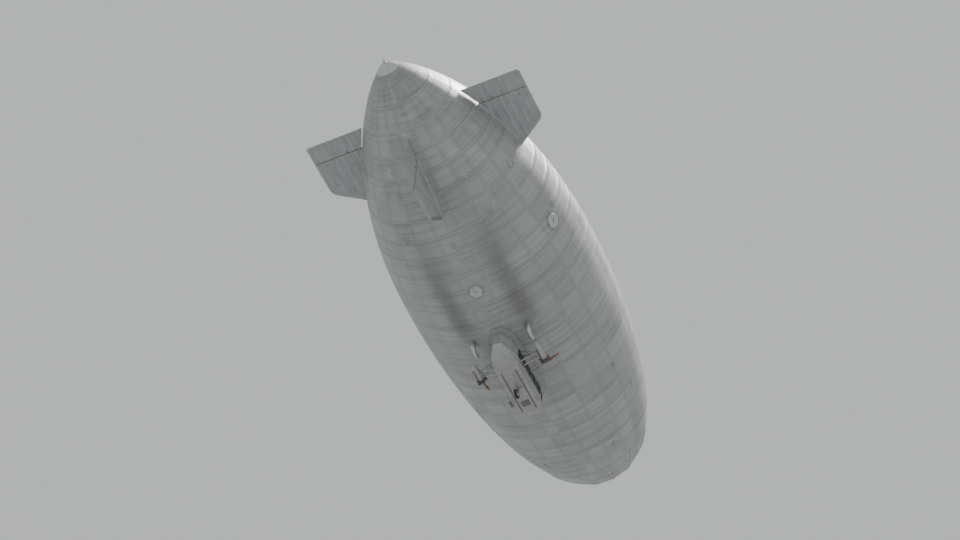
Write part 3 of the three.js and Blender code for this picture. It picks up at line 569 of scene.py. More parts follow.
def window_glass():
    """Clear pane, a little green, with dust along its lower edge."""
    p = Paint("window_glass")
    dust = p.parts()[2].ramp(-7.16, -6.98, 0.5, 0.02) * p.noise(9.0, detail=6.0).ramp(0.3, 0.75)
    colour = p.mix(dust, (0.9, 0.95, 0.93), (0.42, 0.4, 0.35))
    return p.finish(p.noise(3.0, detail=2.0), 0.001, 0.1, Base_Color=colour, Roughness=dust * 0.5,
                    Transmission_Weight=1.0, IOR=1.4, Alpha=0.22 + dust)


# Hull


def hull_radius(y):
    q = np.minimum(np.abs(y) / HALF_LENGTH, 1.0)
    nose, tail = (1 - q ** NOSE_POWER) ** (1 / NOSE_ROOT), (1 - q ** TAIL_POWER) ** (1 / TAIL_ROOT)
    return HULL_R * np.where(y < 0, nose, tail)


def meridian(y):
    """Radius, and the outward normal's radial and axial parts, of the smooth outline at stations y."""
    turn = np.arcsin(np.clip(y / HALF_LENGTH, -1, 1))
    before, after = (HALF_LENGTH * np.sin(np.clip(turn + step, -PI / 2, PI / 2)) for step in (-1e-4, 1e-4))
    dy, dr = after - before, hull_radius(after) - hull_radius(before)
    length = np.hypot(dy, dr)
    return hull_radius(y), dy / length, -dr / length


def swell(y, angle):
    """How far the cloth stands out: gores bulge between seams, with two shallow creases along the top."""
    radius = hull_radius(y)
    share = np.mod(angle / GORE + 0.5, 1.0)
    out = BULGE * 4 * share * (1 - share) * np.clip(radius / 4, 0.1, 1)
    wave = np.sin(1.3 * y + 3 * angle) * np.sin(2.1 * angle + 0.6 * y)
    out = out + 0.004 * wave * np.clip(radius / 4, 0, 1)
    reach = 1 / (1 + np.exp(np.clip((np.abs(y + 1.0) - 8.0) * 3, -30, 30)))
    for line in (-0.46, 0.46):
        away = (np.mod(angle - line + PI, 2 * PI) - PI) * radius
        out = out - 0.035 * np.exp(-(away / 0.22) ** 2) * reach * (1 + 0.35 * np.cos(2 * PI * y / PANEL))
    return out


def skin(y, angle, lift=0.0):
    """Points on the taut cloth, raised by a lift along its normal; the angle runs from the top to port."""
    radius, radial, axial = meridian(y)
    rise = swell(y, angle) + lift
    out = radius + rise * radial
    return np.stack(np.broadcast_arrays(out * np.sin(angle), y + rise * axial, out * np.cos(angle)), -1)


def skin_normal(y, angle):
    radial, axial = meridian(y)[1:]
    return np.stack(np.broadcast_arrays(radial * np.sin(angle), axial, radial * np.cos(angle)), -1)


ARC_Y = HALF_LENGTH * np.sin(np.linspace(-PI / 2, PI / 2, 4001))
ARC = np.concatenate([[0], np.cumsum(np.hypot(np.diff(ARC_Y), np.diff(hull_radius(ARC_Y))))])


def station(arc):
    """Station y at a distance along the outline from the nose."""
    return np.interp(arc, ARC, ARC_Y)


def arc_of(y):
    return np.interp(y, ARC_Y, ARC)


def outline(ys, lift):
    """(radius, station) pairs of the smooth outline, raised by a lift."""
    radius, radial, axial = meridian(ys)
    return np.stack([radius + lift * radial, ys + lift * axial], 1)


def envelope_skin():
    """Rows and columns crowd at the taped seams, which stand proud of the panels."""
    last = PANEL * PANEL_SEAMS
    ends = np.linspace(0.002, arc_of(-last - 0.1), 16), np.linspace(arc_of(last + 0.1), ARC[-1] - 0.002, 16)
    # station, lift, kind of the cloth that follows
    rows = [(y, 0.0, 0) for y in station(np.concatenate(ends))]
    for k in range(-PANEL_SEAMS, PANEL_SEAMS + 1):
        y = k * PANEL
        rows += [(y - TAPE_HALF, 0.0, 0), (y - 0.027, TAPE_LIFT, 1), (y + 0.027, TAPE_LIFT, 0),
                 (y + TAPE_HALF, 0.0, 0)]
        rows += [(y + PANEL * share, 0.0, 0) for share in (0.25, 0.5, 0.75) if k < PANEL_SEAMS]
    ys, row_lift, row_kind = np.array(sorted(rows)).T[:, :, None]
    # share of the tape's half width, share of the gore, lift, kind of the cloth that follows
    columns = [(-1.0, 0.0, 0.0, 0), (-0.78, 0.0, TAPE_LIFT, 1), (0.78, 0.0, TAPE_LIFT, 0), (1.0, 0.0, 0.0, 0)]
    columns += [(0.0, share, 0.0, 0) for share in (0.06, 0.19, 0.33, 0.5, 0.67, 0.81, 0.94)]
    offset, share, lift, kind = np.tile(np.transpose(columns), GORES)
    seam = np.repeat(np.arange(GORES) - 0.5, len(columns)) * GORE
    width = np.minimum(TAPE_HALF / np.maximum(hull_radius(ys), 0.01), GORE * 0.05)
    shape = Shape()
    shape.grid(skin(ys, seam + width * offset + GORE * share, np.maximum(lift, row_lift)),
               np.maximum(kind, row_kind[:-1]).astype(int))
    shape.make("envelope", "skin", "envelope_fabric", [ENVELOPE, SEAM_TAPE], sharp=60)


def pad(shape, y, angle, edge, lift, kind=0, rings=3, turn=0.0):
    """Flat patch glued on the skin; its edge is points (along, across) about its middle, in metres."""
    c, s = math.cos(turn), math.sin(turn)
    along_way, across = (edge @ np.array([[c, s], [-s, c]]) * (meridian(y)[1], 1 / hull_radius(y))).T
    levels = [(max(k / rings, 0.01), lift) for k in range(rings)]
    levels += [(1 - 0.004 / np.abs(along_way).max(), lift), (1.0, 0.0), (1.0, -0.01), (0.01, -0.01)]
    shape.grid([skin(y + along_way * share, angle + across * share, level) for share, level in levels], kind)


def disc(radius, sides=40):
    return radius * circle(sides, (1, 0), (0, 1))


def rectangle(half_along, half_across, sides=48):
    """Rectangle with rounded corners, where its points crowd."""
    ring = disc(1.0, sides)
    return np.sign(ring) * np.abs(ring) ** 0.3 * (half_along, half_across)


def fan(short, far, fingers=5, spread=math.radians(62)):
    """Round patch with fingers that spread to one side."""
    way = np.linspace(-PI, PI, 144, endpoint=False)
    gaps = fingers - 1
    wave = (0.5 + 0.5 * np.cos(way / spread * gaps * PI)) * (np.abs(way) < spread * fingers / gaps)
    reach = short + (far - short) * wave ** 2 * np.cos(way * 0.6)
    return np.stack([reach * np.cos(way), reach * np.sin(way)], 1)


# Fins


def fin_front(span, tip):
    """Leading edge of a fin at a span, rounded at the tip."""
    over = np.clip(span - (tip - TIP_ROUND), 0, TIP_ROUND)
    line = FIN_TRAILING_Y - FIN_TIP_CHORD - (FIN_TIP - span) * FIN_SWEEP
    return line + TIP_ROUND - np.sqrt(TIP_ROUND ** 2 - over ** 2)


def fin_half(span, tip):
    share = np.clip((span - FIN_ROOT) / (tip - 0.06 - FIN_ROOT), 0, 1)
    return FIN_ROOT_HALF + (FIN_TIP_HALF - FIN_ROOT_HALF) * share


def fin_wall(share, half):
    """Half thickness at a share of the chord, where the fin is thickest at two fifths."""
    nose = (1 - (1 - np.minimum(share / 0.4, 1)) ** 2) ** 0.35
    return half * nose + (FIN_REAR_HALF - half) * np.maximum((share - 0.4) / 0.6, 0) ** 1.15


def rib_rows(low, tip):
    """Rows along the span: (span, lift, share of the bay's sag)."""
    rows = []
    for rib in np.arange(tip - 0.07, low, -RIB_PITCH)[::-1]:
        rows += [(rib + away, lift, sag) for away, lift, sag in RIB_TAPE]
        rows += [(rib + RIB_PITCH * share, 0.0, math.sin(PI * share)) for share in BAY]
    return rows[:-len(BAY)]


def taped(rows):
    """Kind of the cloth after each row: tape between two lifted ones."""
    lifted = np.array([row[1] > 0 for row in rows])
    return (lifted[:-1] & lifted[1:])[:, None] * 2


def two_faced(out, y, level):
    """Ring of points along one face and back along its mirror image."""
    side = np.stack(np.broadcast_arrays(out, y, level), 1)
    return np.concatenate([side, side[::-1] * (-1, 1, 1)])


# distance from the rib, lift, share of the sag
RIB_TAPE = ((-0.024, 0.0, 0.1), (-0.018, 0.0025, 0.0), (0.018, 0.0025, 0.0), (0.024, 0.0, 0.1))
# rows between two ribs, as shares of the pitch
BAY = (0.15, 0.32, 0.5, 0.68, 0.85)
# columns from the front edge to the back, as shares of the chord
CHORD = np.array([0, 0.004, 0.012, 0.024, 0.04, 0.06, 0.075, 0.08, 0.11, 0.15, 0.2, 0.26, 0.33, 0.4, 0.47,
                  0.54, 0.61, 0.68, 0.75, 0.82, 0.88, 0.93, 0.965, 0.985, 1.0])
SURFACE_CHORD = np.array([0, 0.02, 0.05, 0.1, 0.18, 0.28, 0.4, 0.52, 0.64, 0.75, 0.85, 0.92, 0.96, 0.985,
                          1.0])


def fin_blade(shape, tip):
    """Ribbed cloth behind a metal leading edge."""
    rows = rib_rows(FIN_ROOT + 0.3, tip) + [(tip - away, 0.0, 0.0) for away in (0.04, 0.02, 0.007, 0.0)]
    cloth = np.clip((CHORD - 0.08) / 0.12, 0, 1) * np.clip((1 - CHORD) / 0.06, 0, 1)
    edge = CHORD < 0.077
    rings = []
    for span, lift, sag in rows:
        front = fin_front(span, tip)
        out = fin_wall(CHORD, fin_half(span, tip)) - 0.013 * sag * cloth + np.where(edge, 0.0015, lift)
        out[0] = 0.006
        out *= max(dome((span - tip + 0.05) / 0.05), 0.06)
        rings.append(two_faced(out, front + CHORD * (FIN_BACK_Y - front), span))
    kinds = np.where(np.concatenate([edge[:-1], [False], edge[-2::-1], [True]]), 1, taped(rows))
    kinds[:, len(CHORD) - 1] = 0
    shape.grid(rings, kinds, end_kind=1)


def root_fillet(shape, tip):
    """Cloth strip that closes the corner between the fin and the hull on both sides."""
    ys = np.linspace(6.0, 11.5, 300)
    start = ys[fin_front(hull_radius(ys), tip) < ys][0]
    ys = np.linspace(start + 0.05, FIN_BACK_Y - 0.01, 60)[:, None]
    radius, bend = hull_radius(ys), 0.11
    arc = [(bend * (1 - math.sin(t)), bend * (1 - math.cos(t))) for t in np.linspace(0, PI / 2, 7)]
    out, up = np.transpose([(bend + 0.08, 0.0), (bend + 0.03, 0.0), *arc, (0.0, bend + 0.05),
                            (-0.02, bend + 0.05), (-0.02, -0.06), (bend + 0.08, -0.06)])
    front = fin_front(radius, tip)
    size = np.minimum(1.0, (ys - start) / 0.5) ** 0.5
    x = fin_wall((ys - front) / (FIN_BACK_Y - front), fin_half(radius, tip)) + 0.004 + out * size
    level = np.sqrt(radius ** 2 - x ** 2) + 0.012 + swell(ys, 0.0) + up * size
    for side in (-1, 1):
        shape.grid(np.stack(np.broadcast_arrays(side * x, ys, level), -1))


def hinge_lug(shape, span):
    """Eye that the moving surface's pin turns in, on a plate bolted to the fin's rear spar."""
    shape.band(0.0145, 0.028, 0.03, 0.003, (0, HINGE_Y, span), Z, 20)
    shape.box((-0.02, FIN_BACK_Y - 0.02, span - 0.026), (0.02, HINGE_Y - 0.02, span + 0.026), kind=1)
    shape.block((0, FIN_BACK_Y, span), (0.05, 0.004, 0.055), 0.002, 1)


def stay(shape, turn, y, side, tip):
    """Wire from the fin to a fingered patch on the hull, with a turnbuckle near the patch."""
    angle = math.radians(turn) + side * STAY_ANGLE
    foot = skin(y, angle, 0.05)
    front = fin_front(STAY_SPAN, tip)
    share = (y - front) / (FIN_BACK_Y - front)
    half = fin_half(STAY_SPAN, tip) * (1.0 if share < 0.4 else 0.92 - 0.2 * (share - 0.4))
    plate = turn_y(turn)
    out = plate[:, 0] * side
    head = plate @ (side * (half + 0.012), y, STAY_SPAN)
    way = unit(head - foot)
    shape.rod(foot, head, 0.006, steps=5)
    for low, high, radius in ((0.35, 0.42, 0.012), (0.42, 0.62, 0.02), (0.62, 0.69, 0.012)):
        shape.rod(foot + way * low, foot + way * high, radius, 10)
    shape.band(0.012, 0.03, 0.012, 0, foot, np.cross(way, Y), 12)
    shape.block(head - out * 0.006, (0.007, 0.07, 0.05), 0.003, 1, plate)
    shape.studs(head + lattice(0, (-0.05, 0.05), (-0.032, 0.032)) @ plate.T, out, 0.009, 0.007)
    pad(shape, y, angle, fan(0.13, 0.55), 0.006, 2, 6, side * PI / 2)
    pad(shape, y, angle, disc(0.11, 24), 0.011, 2, 2)
    shape.block(skin(y, angle, 0.016), (0.05, 0.018, 0.016), 0.004, 1, facing(skin_normal(y, angle)))


def fin(place, turn, tip, hinges, stays):
    """Fixed fin with its fillets, hinge eyes and stays."""
    shape = Shape(turn_y(turn))
    fin_blade(shape, tip)
    root_fillet(shape, tip)
    for span in hinges:
        hinge_lug(shape, span)
    shape.stand()
    for y in stays:
        for side in (-1, 1):
            stay(shape, turn, y, side, tip)
    shape.make(f"fin_{place}", "covered", "fin_fabric", [FIN_CLOTH, STEEL, FIN_TAPE])


def surface_low(y):
    """Inner edge of a moving surface, which follows the hull with a gap."""
    radius, radial = meridian(y)[:2]
    return radius + 0.08 / np.maximum(radial, 0.3)


def surface_half(y):
    """Half thickness of a moving surface from its hinge line to its edge."""
    share = np.clip((y - HINGE_Y) / (FIN_TRAILING_Y - HINGE_Y), 0, 1)
    return SURFACE_NOSE_R + (SURFACE_EDGE_HALF - SURFACE_NOSE_R) * share


def control_surface(name, body, turn, tip, hinges, horns):
    """Ribbed cloth surface with a round nose between its hinges, their pins and a pair of horns."""
    shape = Shape(turn_y(turn))
    front = HINGE_Y + 0.05
    rows = [row for row in rib_rows(3.3, tip) if row[0] > surface_low(front) + 0.03]
    rows = [(0.0, 0.0, 0.0), *rows, *((tip - away, 0.0, 0.0) for away in (0.025, 0.01, 0.0))]
    cloth = np.clip(SURFACE_CHORD / 0.1, 0, 1) * np.clip((1 - SURFACE_CHORD) / 0.08, 0, 1)
    rings = []
    for span, lift, sag in rows:
        back = FIN_TRAILING_Y - 0.014 * sag - 0.12 * (1 - dome((span - tip + 0.12) / 0.12))
        y = front + SURFACE_CHORD * (back - front)
        out = (surface_half(y) - 0.009 * sag * cloth + lift) * max(dome((span - tip + 0.03) / 0.03), 0.1)
        rings.append(two_faced(out, y, np.maximum(span, surface_low(y))))
    shape.grid(rings, taped(rows))
    radius, half = SURFACE_NOSE_R, surface_half(front) - 0.001
    arc = [(radius * math.cos(t), -radius * math.sin(t)) for t in np.linspace(0, PI, 11)]
    section = [(half, 0.053), (radius, 0.01), *arc, (-radius, 0.01), (-half, 0.053)]
    cuts = [surface_low(HINGE_Y) + 0.02, *(span + away for span in hinges for away in (-0.038, 0.038)),
            tip - 0.012]
    for a, b in zip(cuts[::2], cuts[1::2]):
        levels = ((a, 0.94), (a + 0.004, 1.0), (b - 0.004, 1.0), (b, 0.94))
        shape.grid([[(x * share, HINGE_Y + y * share, z) for x, y in section] for z, share in levels])
    for span in hinges:
        shape.rod((0, HINGE_Y, span - 0.05), (0, HINGE_Y, span + 0.05), 0.013, 14)
        for z in (span - 0.075, span + 0.075):
            shape.block((0, HINGE_Y + 0.105, z), (0.064, 0.135, 0.012), 0.003, 1)
    horn(shape, horns)
    shape.make(name, "covered", "fin_fabric", [FIN_CLOTH, STEEL, FIN_TAPE], body)


def horn(shape, span):
    """Control horns on both faces, each with a wire eye."""
    corners = ((0.05, -0.01), (0.05, 0.17), (0.24, 0.07), (0.26, 0.05), (0.24, 0.03))
    for side in (-1, 1):
        shape.grid([[(side * x, HINGE_Y + y, span + z) for x, y in corners] for z in (-0.004, 0.004)], 1)
        shape.block((side * 0.058, HINGE_Y + 0.085, span), (0.006, 0.105, 0.05), 0.003, 1)
        shape.band(0.007, 0.016, 0.009, 0, (side * 0.245, HINGE_Y + 0.05, span), Z, 12)


# Nose and tail

# across and up, as shares of the batten's half width and height; the last two are up in metres
BATTEN_SECTION = both(((-1.0, -0.2), (-1.0, 0.35), (-0.85, 0.72), (-0.45, 0.95)), (0.0, 1.0))
POCKET_SECTION = both(((-1, -0.01), (-1, 0.001), (-0.95, 0.004)), (0, 0.0045))
LASHING = both(((-1.9, 0.004), (-1.2, 0.012), (-1.0, 0.03), (-0.6, 0.05)), (0, 0.053))


def batten(shape, angle):
    """Wooden stiffener in a cloth pocket along the nose, tapered at its end and lashed down."""
    def laid(arc, section, wide, high):
        across, up = np.transpose(section)
        y = station(arc)
        return skin(y, angle + across * wide / hull_radius(y), up * high)

    arcs = np.linspace(0.59, arc_of(BATTEN_END_Y), 44)[:, None]
    end = np.clip((arcs[-1] - arcs) / 0.5, 0.15, 1)
    shape.grid(laid(arcs, BATTEN_SECTION, 0.044 * end ** 0.6, 0.04 * end ** 0.8), 1)
    flat = np.minimum(0.11, GORE * 0.4 * hull_radius(station(arcs)))
    shape.grid(laid(arcs, POCKET_SECTION, flat, 1.0))
    for arc in np.arange(0.8, arcs[-1, 0] - 0.1, 0.24):
        end = np.clip((arcs[-1, 0] - arc) / 0.5, 0.15, 1)
        across = np.transpose(LASHING)[0]
        shape.tube(laid(arc + 0.02 * across, LASHING, 0.044 * end ** 0.6, end ** 0.7), 0.006, 6, 2)


def nose_battens():
    """Battens all round the nose, and the bolted ring over their front ends."""
    shape = Shape()
    for angle in turns(BATTENS, 0.5):
        batten(shape, angle)
    rim = outline(station((0.3, 0.38, 0.46, 0.54, 0.6, 0.635)), 0.042)
    shape.lathe([(0.25, -16.1), *rim, (0.652, -16.17), (0.65, -16.13), (0.6, -16.1)], sides=96, kind=1,
                closed=True)
    y, ring = station(0.57), turns(48, 0.5)
    shape.studs(skin(y, ring, 0.042), skin_normal(y, ring), 0.012, 0.009)
    shape.make("nose_battens", "lashed", "bare_metal", [ENVELOPE_TRIM, SILVER_WOOD, CORD])


def nose_cone():
    """Turned cone with a mooring spigot, twelve webs and a ring of bolts."""
    shape = Shape(place=(0, NOSE_FACE_Y, 0))
    shape.lathe([(0, 0), (0.138, 0), (0.15, 0.008), (0.15, 0.05), (0.143, 0.062), (0.1, 0.085), (0.091, 0.1),
                 (0.091, 0.17), (0.105, 0.19), (0.2, 0.225), (0.3, 0.262), (0.4, 0.297), (0.465, 0.318),
                 (0.48, 0.33), (0.48, 0.36), (0.46, 0.42), (0, 0.42)], sides=72)
    web = ((0.08, 0.1), (0.1, 0.1), (0.42, 0.295), (0.42, 0.33), (0.08, 0.22))
    for degrees in range(0, 360, 30):
        shape.grid(np.array([[(x, y, r) for r, y in web] for x in (-0.006, 0.006)]) @ turn_y(degrees).T)
    shape.studs(spots(36, 0.44, (0, 0.309, 0)), -Y, 0.011, 0.011, 0)
    shape.make("nose_cone", "turned", "bare_metal", [ALUMINIUM])


def tail_cap():
    """Spun cap with a spindle and two rows of rivets."""
    shape = Shape()
    arcs = np.linspace(arc_of(TAIL_CAP_Y), ARC[-1] - 0.06, 26)
    outer = outline(station(arcs), 0.028 + 0.004 * (arcs - arcs[0] < 0.05))
    start, end = hull_radius(TAIL_CAP_Y) - 0.01, outer[-1, 1]
    shape.lathe([(start, TAIL_CAP_Y), (start + 0.012, TAIL_CAP_Y - 0.004), *outer[outer[:, 0] > 0.115],
                 (0.11, end + 0.012), (0.09, end + 0.02), (0.09, TAIL_FACE_Y - 0.006), (0.084, TAIL_FACE_Y),
                 (0, TAIL_FACE_Y)], sides=96)
    for arc, count in ((arcs[0] + 0.025, 48), (arcs[0] + 0.3, 32)):
        y, ring = station(arc), turns(count, 0.5)
        shape.studs(skin(y, ring, 0.03 - swell(y, ring)), skin_normal(y, ring), 0.01, 0.008, 0)
    shape.make("tail_cap", "spun", "bare_metal", [ALUMINIUM])


# Car


def car_planes():
    """Normals and offsets of the car's outer faces, from its outlines in counterclockwise order."""
    for edge, axes in ((both(CAR_PLAN), [0, 1]), (CAR_SIDE, [1, 2]), (both(CAR_SECTION)[::-1], [0, 2])):
        for a, b in zip(edge, edge[1:] + edge[:1]):
            normal = np.zeros(3)
            normal[axes] = unit((b[1] - a[1], a[0] - b[0]))
            yield normal, normal[axes] @ a


def car_solid(depth, rounding, name):
    """Convex body inside the car's faces moved inwards by a depth, with rounded edges."""
    work = bmesh.new()
    bmesh.ops.create_cube(work, size=20.0)
    for normal, offset in car_planes():
        whole = work.verts[:] + work.edges[:] + work.faces[:]
        bmesh.ops.bisect_plane(work, geom=whole, plane_co=Vector(normal * (offset - depth)),
                               plane_no=Vector(normal), clear_outer=True, dist=1e-6)
        bmesh.ops.holes_fill(work, edges=[e for e in work.edges if e.is_boundary])
    bmesh.ops.remove_doubles(work, verts=work.verts, dist=1e-4)
    bmesh.ops.dissolve_limit(work, angle_limit=0.01, verts=work.verts, edges=work.edges)
    if rounding:
        sharp = [e for e in work.edges if e.is_manifold and e.calc_face_angle() > 0.12]
        bmesh.ops.bevel(work, geom=sharp, offset=rounding, segments=4, profile=0.5, affect="EDGES",
                        clamp_overlap=True)
    bmesh.ops.recalc_face_normals(work, faces=work.faces)
    mesh = bpy.data.meshes.new(name)
    work.to_mesh(mesh)
    work.free()
    return linked(name, mesh)


def cut(target, steps):
    """Boolean steps of (operation, cutter); returns the result as points and faces."""
    for operation, cutter in steps:
        step = target.modifiers.new("cut", "BOOLEAN")
        step.operation, step.solver, step.object = operation, "EXACT", cutter
    mesh = target.evaluated_get(bpy.context.evaluated_depsgraph_get()).data
    result = [v.co[:] for v in mesh.vertices], [f.vertices[:] for f in mesh.polygons]
    target.modifiers.clear()
    return result


def rounded(corners, grow, radius, steps=5):
    """Convex outline, counterclockwise, with its corners rounded and then grown outwards."""
    points = np.array(corners, float)
    loop = []
    for k, here in enumerate(points):
        ways = unit(np.array([here - points[k - 1], points[(k + 1) % len(points)] - here]))
        first, last = np.stack([ways[:, 1], -ways[:, 0]], 1)
        middle = unit(first + last)
        centre = here - middle * radius / (middle @ first)
        start, turn = math.atan2(first[1], first[0]), math.acos(np.clip(first @ last, -1, 1))
        angles = np.linspace(start, start + turn, steps)
        loop += [centre + (radius + grow) * np.array([math.cos(a), math.sin(a)]) for a in angles]
    return loop


def pane(a, b, low=(0.0, 0.0), high=(0.0, 0.0)):
    """Middle, way, outward direction and corners of a flat pane; low and high cut back its two edges."""
    a, b = np.array(a), np.array(b)
    way, half = unit(b - a), np.linalg.norm(b - a) / 2
    corners = [(low[0] - half, PANE_LOW), (half - low[1], PANE_LOW), (half - high[1], PANE_HIGH),
               (high[0] - half, PANE_HIGH)]
    return (a + b) / 2, way, np.array([way[1], -way[0]]), corners


def front_lean(z, share):
    """How far the leaning front cuts back a plan edge at a height."""
    (top_y, top), (low_y, low) = CAR_SIDE[:2]
    return (top_y + (low_y - top_y) * (top - z) / (top - low) - CAR_PLAN[0][1]) / share


def body_panes():
    """Side windows, then the five panes round the bow, whose inner posts follow the leaning front."""
    found = [pane(*[(side * CAR_HALF, y) for y in ends[::side]]) for side, *ends in SIDE_WINDOWS]
    nose, cheek, shoulder = np.array(CAR_PLAN[:3])
    slope = unit(cheek - nose)
    low, high = (front_lean(z, slope[1]) for z in (PANE_LOW, PANE_HIGH))
    found.append(pane(nose * (-1, 1), nose, *((BOW_POST - lean * slope[0],) * 2 for lean in (low, high))))
    for a, b, low, high in ((nose, cheek, low, high), (cheek, shoulder, 0.0, 0.0)):
        low, high = (low + BOW_POST, BOW_POST), (high + BOW_POST, BOW_POST)
        found += [pane(a, b, low, high), pane(b * (-1, 1), a * (-1, 1), low[::-1], high[::-1])]
    return found


def pane_loop(window, grow, deep):
    """Rounded loop round a pane, in the row frame, at a distance outside the wall's plane."""
    middle, way, out, corners = window
    return [(*(middle + way * u + out * deep), z) for u, z in rounded(corners, grow, PANE_ROUND)]


def car_ring():
    """Evenly spaced points round the car's plan with softened corners, and their outward directions."""
    plan, ring = np.array(both(CAR_PLAN)), []
    for a, b in zip(plan, np.roll(plan, -1, 0)):
        count = max(1, round(math.dist(a, b) / 0.035))
        ring += [a + (b - a) * k / count for k in range(count)]
    ring = np.array(ring)
    for _ in range(6):
        ring = (np.roll(ring, 1, 0) + 2 * ring + np.roll(ring, -1, 0)) / 4
    ways = ways_along(ring, True)
    return ring, np.stack([ways[:, 1], -ways[:, 0]], 1)


def along(path, pitch, ring=False):
    """Evenly spaced points along a path, each with the number of the path's point before it."""
    path = np.concatenate([path, path[:1]]) if ring else path
    length = np.concatenate([[0], np.cumsum(np.linalg.norm(np.diff(path, axis=0), axis=1))])
    count = max(2, round(length[-1] / pitch))
    for s in (np.arange(count) + 0.5) * length[-1] / count:
        spot = np.array([np.interp(s, length, column) for column in path.T])
        yield spot, int(np.searchsorted(length, s)) - 1


class Wall:
    """The car's outer surface, for laying trim on it."""

    def __init__(self, target):
        work = bmesh.new()
        work.from_mesh(target.data)
        self.tree = BVHTree.FromBMesh(work)
        work.free()

    def lay(self, points, outs):
        """Places and normals where rays from outside meet the wall; outs are directions in plan."""
        found = []
        for point, out in zip(points, np.broadcast_to(outs, (len(points), 2))):
            point, direction = Vector(point), -Vector((*out, 0.0))
            hit = self.tree.ray_cast(point - direction, direction)
            found.append((hit if hit[0] is not None else self.tree.find_nearest(point))[:2])
        return np.array(found).swapaxes(0, 1)


RING, RING_OUT = car_ring()
MOULDING = both(((-0.016, -0.004), (-0.014, 0.004), (-0.006, 0.009)))
FRAME_SECTION = both(((-0.015, -0.004), (-0.015, 0.005), (-0.009, 0.009)))
GASKET = ((-0.012, -0.03), (-0.012, 0.002), (-0.006, 0.006), (0.002, 0.004), (0.004, 0.0), (0.004, -0.03))
STRAP = both(((-0.02, -0.003), (-0.02, 0.002)))
RIVET = (0.0055, 0.0035, 0, 5)


def belt_runs(level):
    """Numbers of the ring's points that carry the moulding of a level; the door interrupts the lower two."""
    numbers = np.arange(len(RING))
    if level == 0:
        return [numbers]
    x, y = RING.T
    keep = (x < CAR_HALF - 0.02) | (y < DOOR_Y[0] - 0.02) | (y > DOOR_Y[1] + 0.02)
    if level == 2:
        keep &= (np.abs(x) > CAR_HALF - 0.003) & (y > CAR_PLAN[2][1]) & (y < CAR_PLAN[3][1] - 0.1)
    numbers = np.roll(numbers, -np.argmin(keep))
    runs = np.split(numbers, np.flatnonzero(np.diff(keep[numbers])) + 1)
    return [run for run in runs if keep[run[0]]]


def trim_belts(shape, wall):
    """Mouldings along the roof, under the windows and along the chine, each with a row of rivets."""
    for level, (z, rivet_z) in enumerate(BELTS):
        for run in belt_runs(level):
            path, normals = wall.lay([(*RING[k], z) for k in run], RING_OUT[run])
            shape.sweep(path, normals, MOULDING, 1, level == 0)
            path, normals = wall.lay([(*RING[k], rivet_z) for k in run], RING_OUT[run])
            for spot, k in along(path, 0.075, level == 0):
                shape.stud(spot, normals[k], *RIVET)


def trim_seams(shape, wall):
    """Butt straps down the plating, with double rivet rows."""
    zs = np.linspace(BELTS[1][0] - 0.02, BELTS[2][0] + 0.02, 12)
    for side, places in SEAM_STRAPS:
        for x, y in places:
            near = np.argmin(np.hypot(*(RING - (side * x, y)).T))
            out = RING_OUT[near]
            path, normals = wall.lay([(*(RING[near] + out * 0.1), z) for z in zs], out)
            shape.sweep(path, normals, STRAP)
            for spot, k in along(path, 0.06):
                for across in (-0.012, 0.012):
                    shape.stud(spot + across * np.cross(Z, (*out, 0)) + normals[k] * 0.0015,
                               normals[k], *RIVET)


def trim_windows(shape, wall, windows):
    """A raised metal frame and a rubber gasket round each pane, held by screws."""
    for window in windows:
        path, normals = wall.lay(pane_loop(window, 0.019, 0.3), window[2])
        shape.sweep(path, normals, FRAME_SECTION, 1, True)
        for spot, k in along(path, 0.11, True):
            shape.stud(spot + normals[k] * 0.008, normals[k], 0.006, 0.003)
        shape.sweep(*wall.lay(pane_loop(window, 0.001, 0.3), window[2]), GASKET, 2, True)


def car_shell():
    """Body and door, cut from one wall so that their faces line up."""
    outer, inner = car_solid(0.0, 0.03, "cut_outer"), car_solid(CAR_WALL, 0.0, "cut_inner")
    wall = Wall(outer)
    door_panes = [pane((CAR_HALF, DOOR_Y[0] + 0.1), (CAR_HALF, DOOR_Y[1] - 0.1))]
    for name, body, windows, gap, operation, fittings in (
            ("car_body", "hull", body_panes(), 0.0, "DIFFERENCE", body_fittings),
            ("car_door", "door", door_panes, DOOR_GAP, "INTERSECT", door_fittings)):
        holes, opening = Shape(), Shape()
        for window in windows:
            holes.grid([pane_loop(window, 0.0, deep) for deep in (-0.2, 0.12)])
        low, high = np.transpose([(0.3, CAR_HALF + 0.06), DOOR_Y, DOOR_Z])
        opening.box(low + (0, gap, gap), high - (0, gap, gap), 0.0)
        holes, opening = holes.solid("cut_panes"), opening.solid("cut_door")
        shape = Shape()
        shape.add(*cut(outer, (("DIFFERENCE", inner), ("DIFFERENCE", holes), (operation, opening))), 0)
        bpy.data.objects.remove(holes)
        bpy.data.objects.remove(opening)
        trim_windows(shape, wall, windows)
        fittings(shape, wall)
        shape.make(name, "plated", "car_paint", [CAR_PAINT, CAR_TRIM, RUBBER, STEEL, LAMP_GLASS], body)
    bpy.data.objects.remove(outer)
    bpy.data.objects.remove(inner)


def body_fittings(shape, wall):
    """Everything that is fixed on the car's body."""
    for fit in (trim_belts, trim_seams):
        fit(shape, wall)
    for fit in (keel_fittings, door_ears, bow_fittings):
        fit(shape)


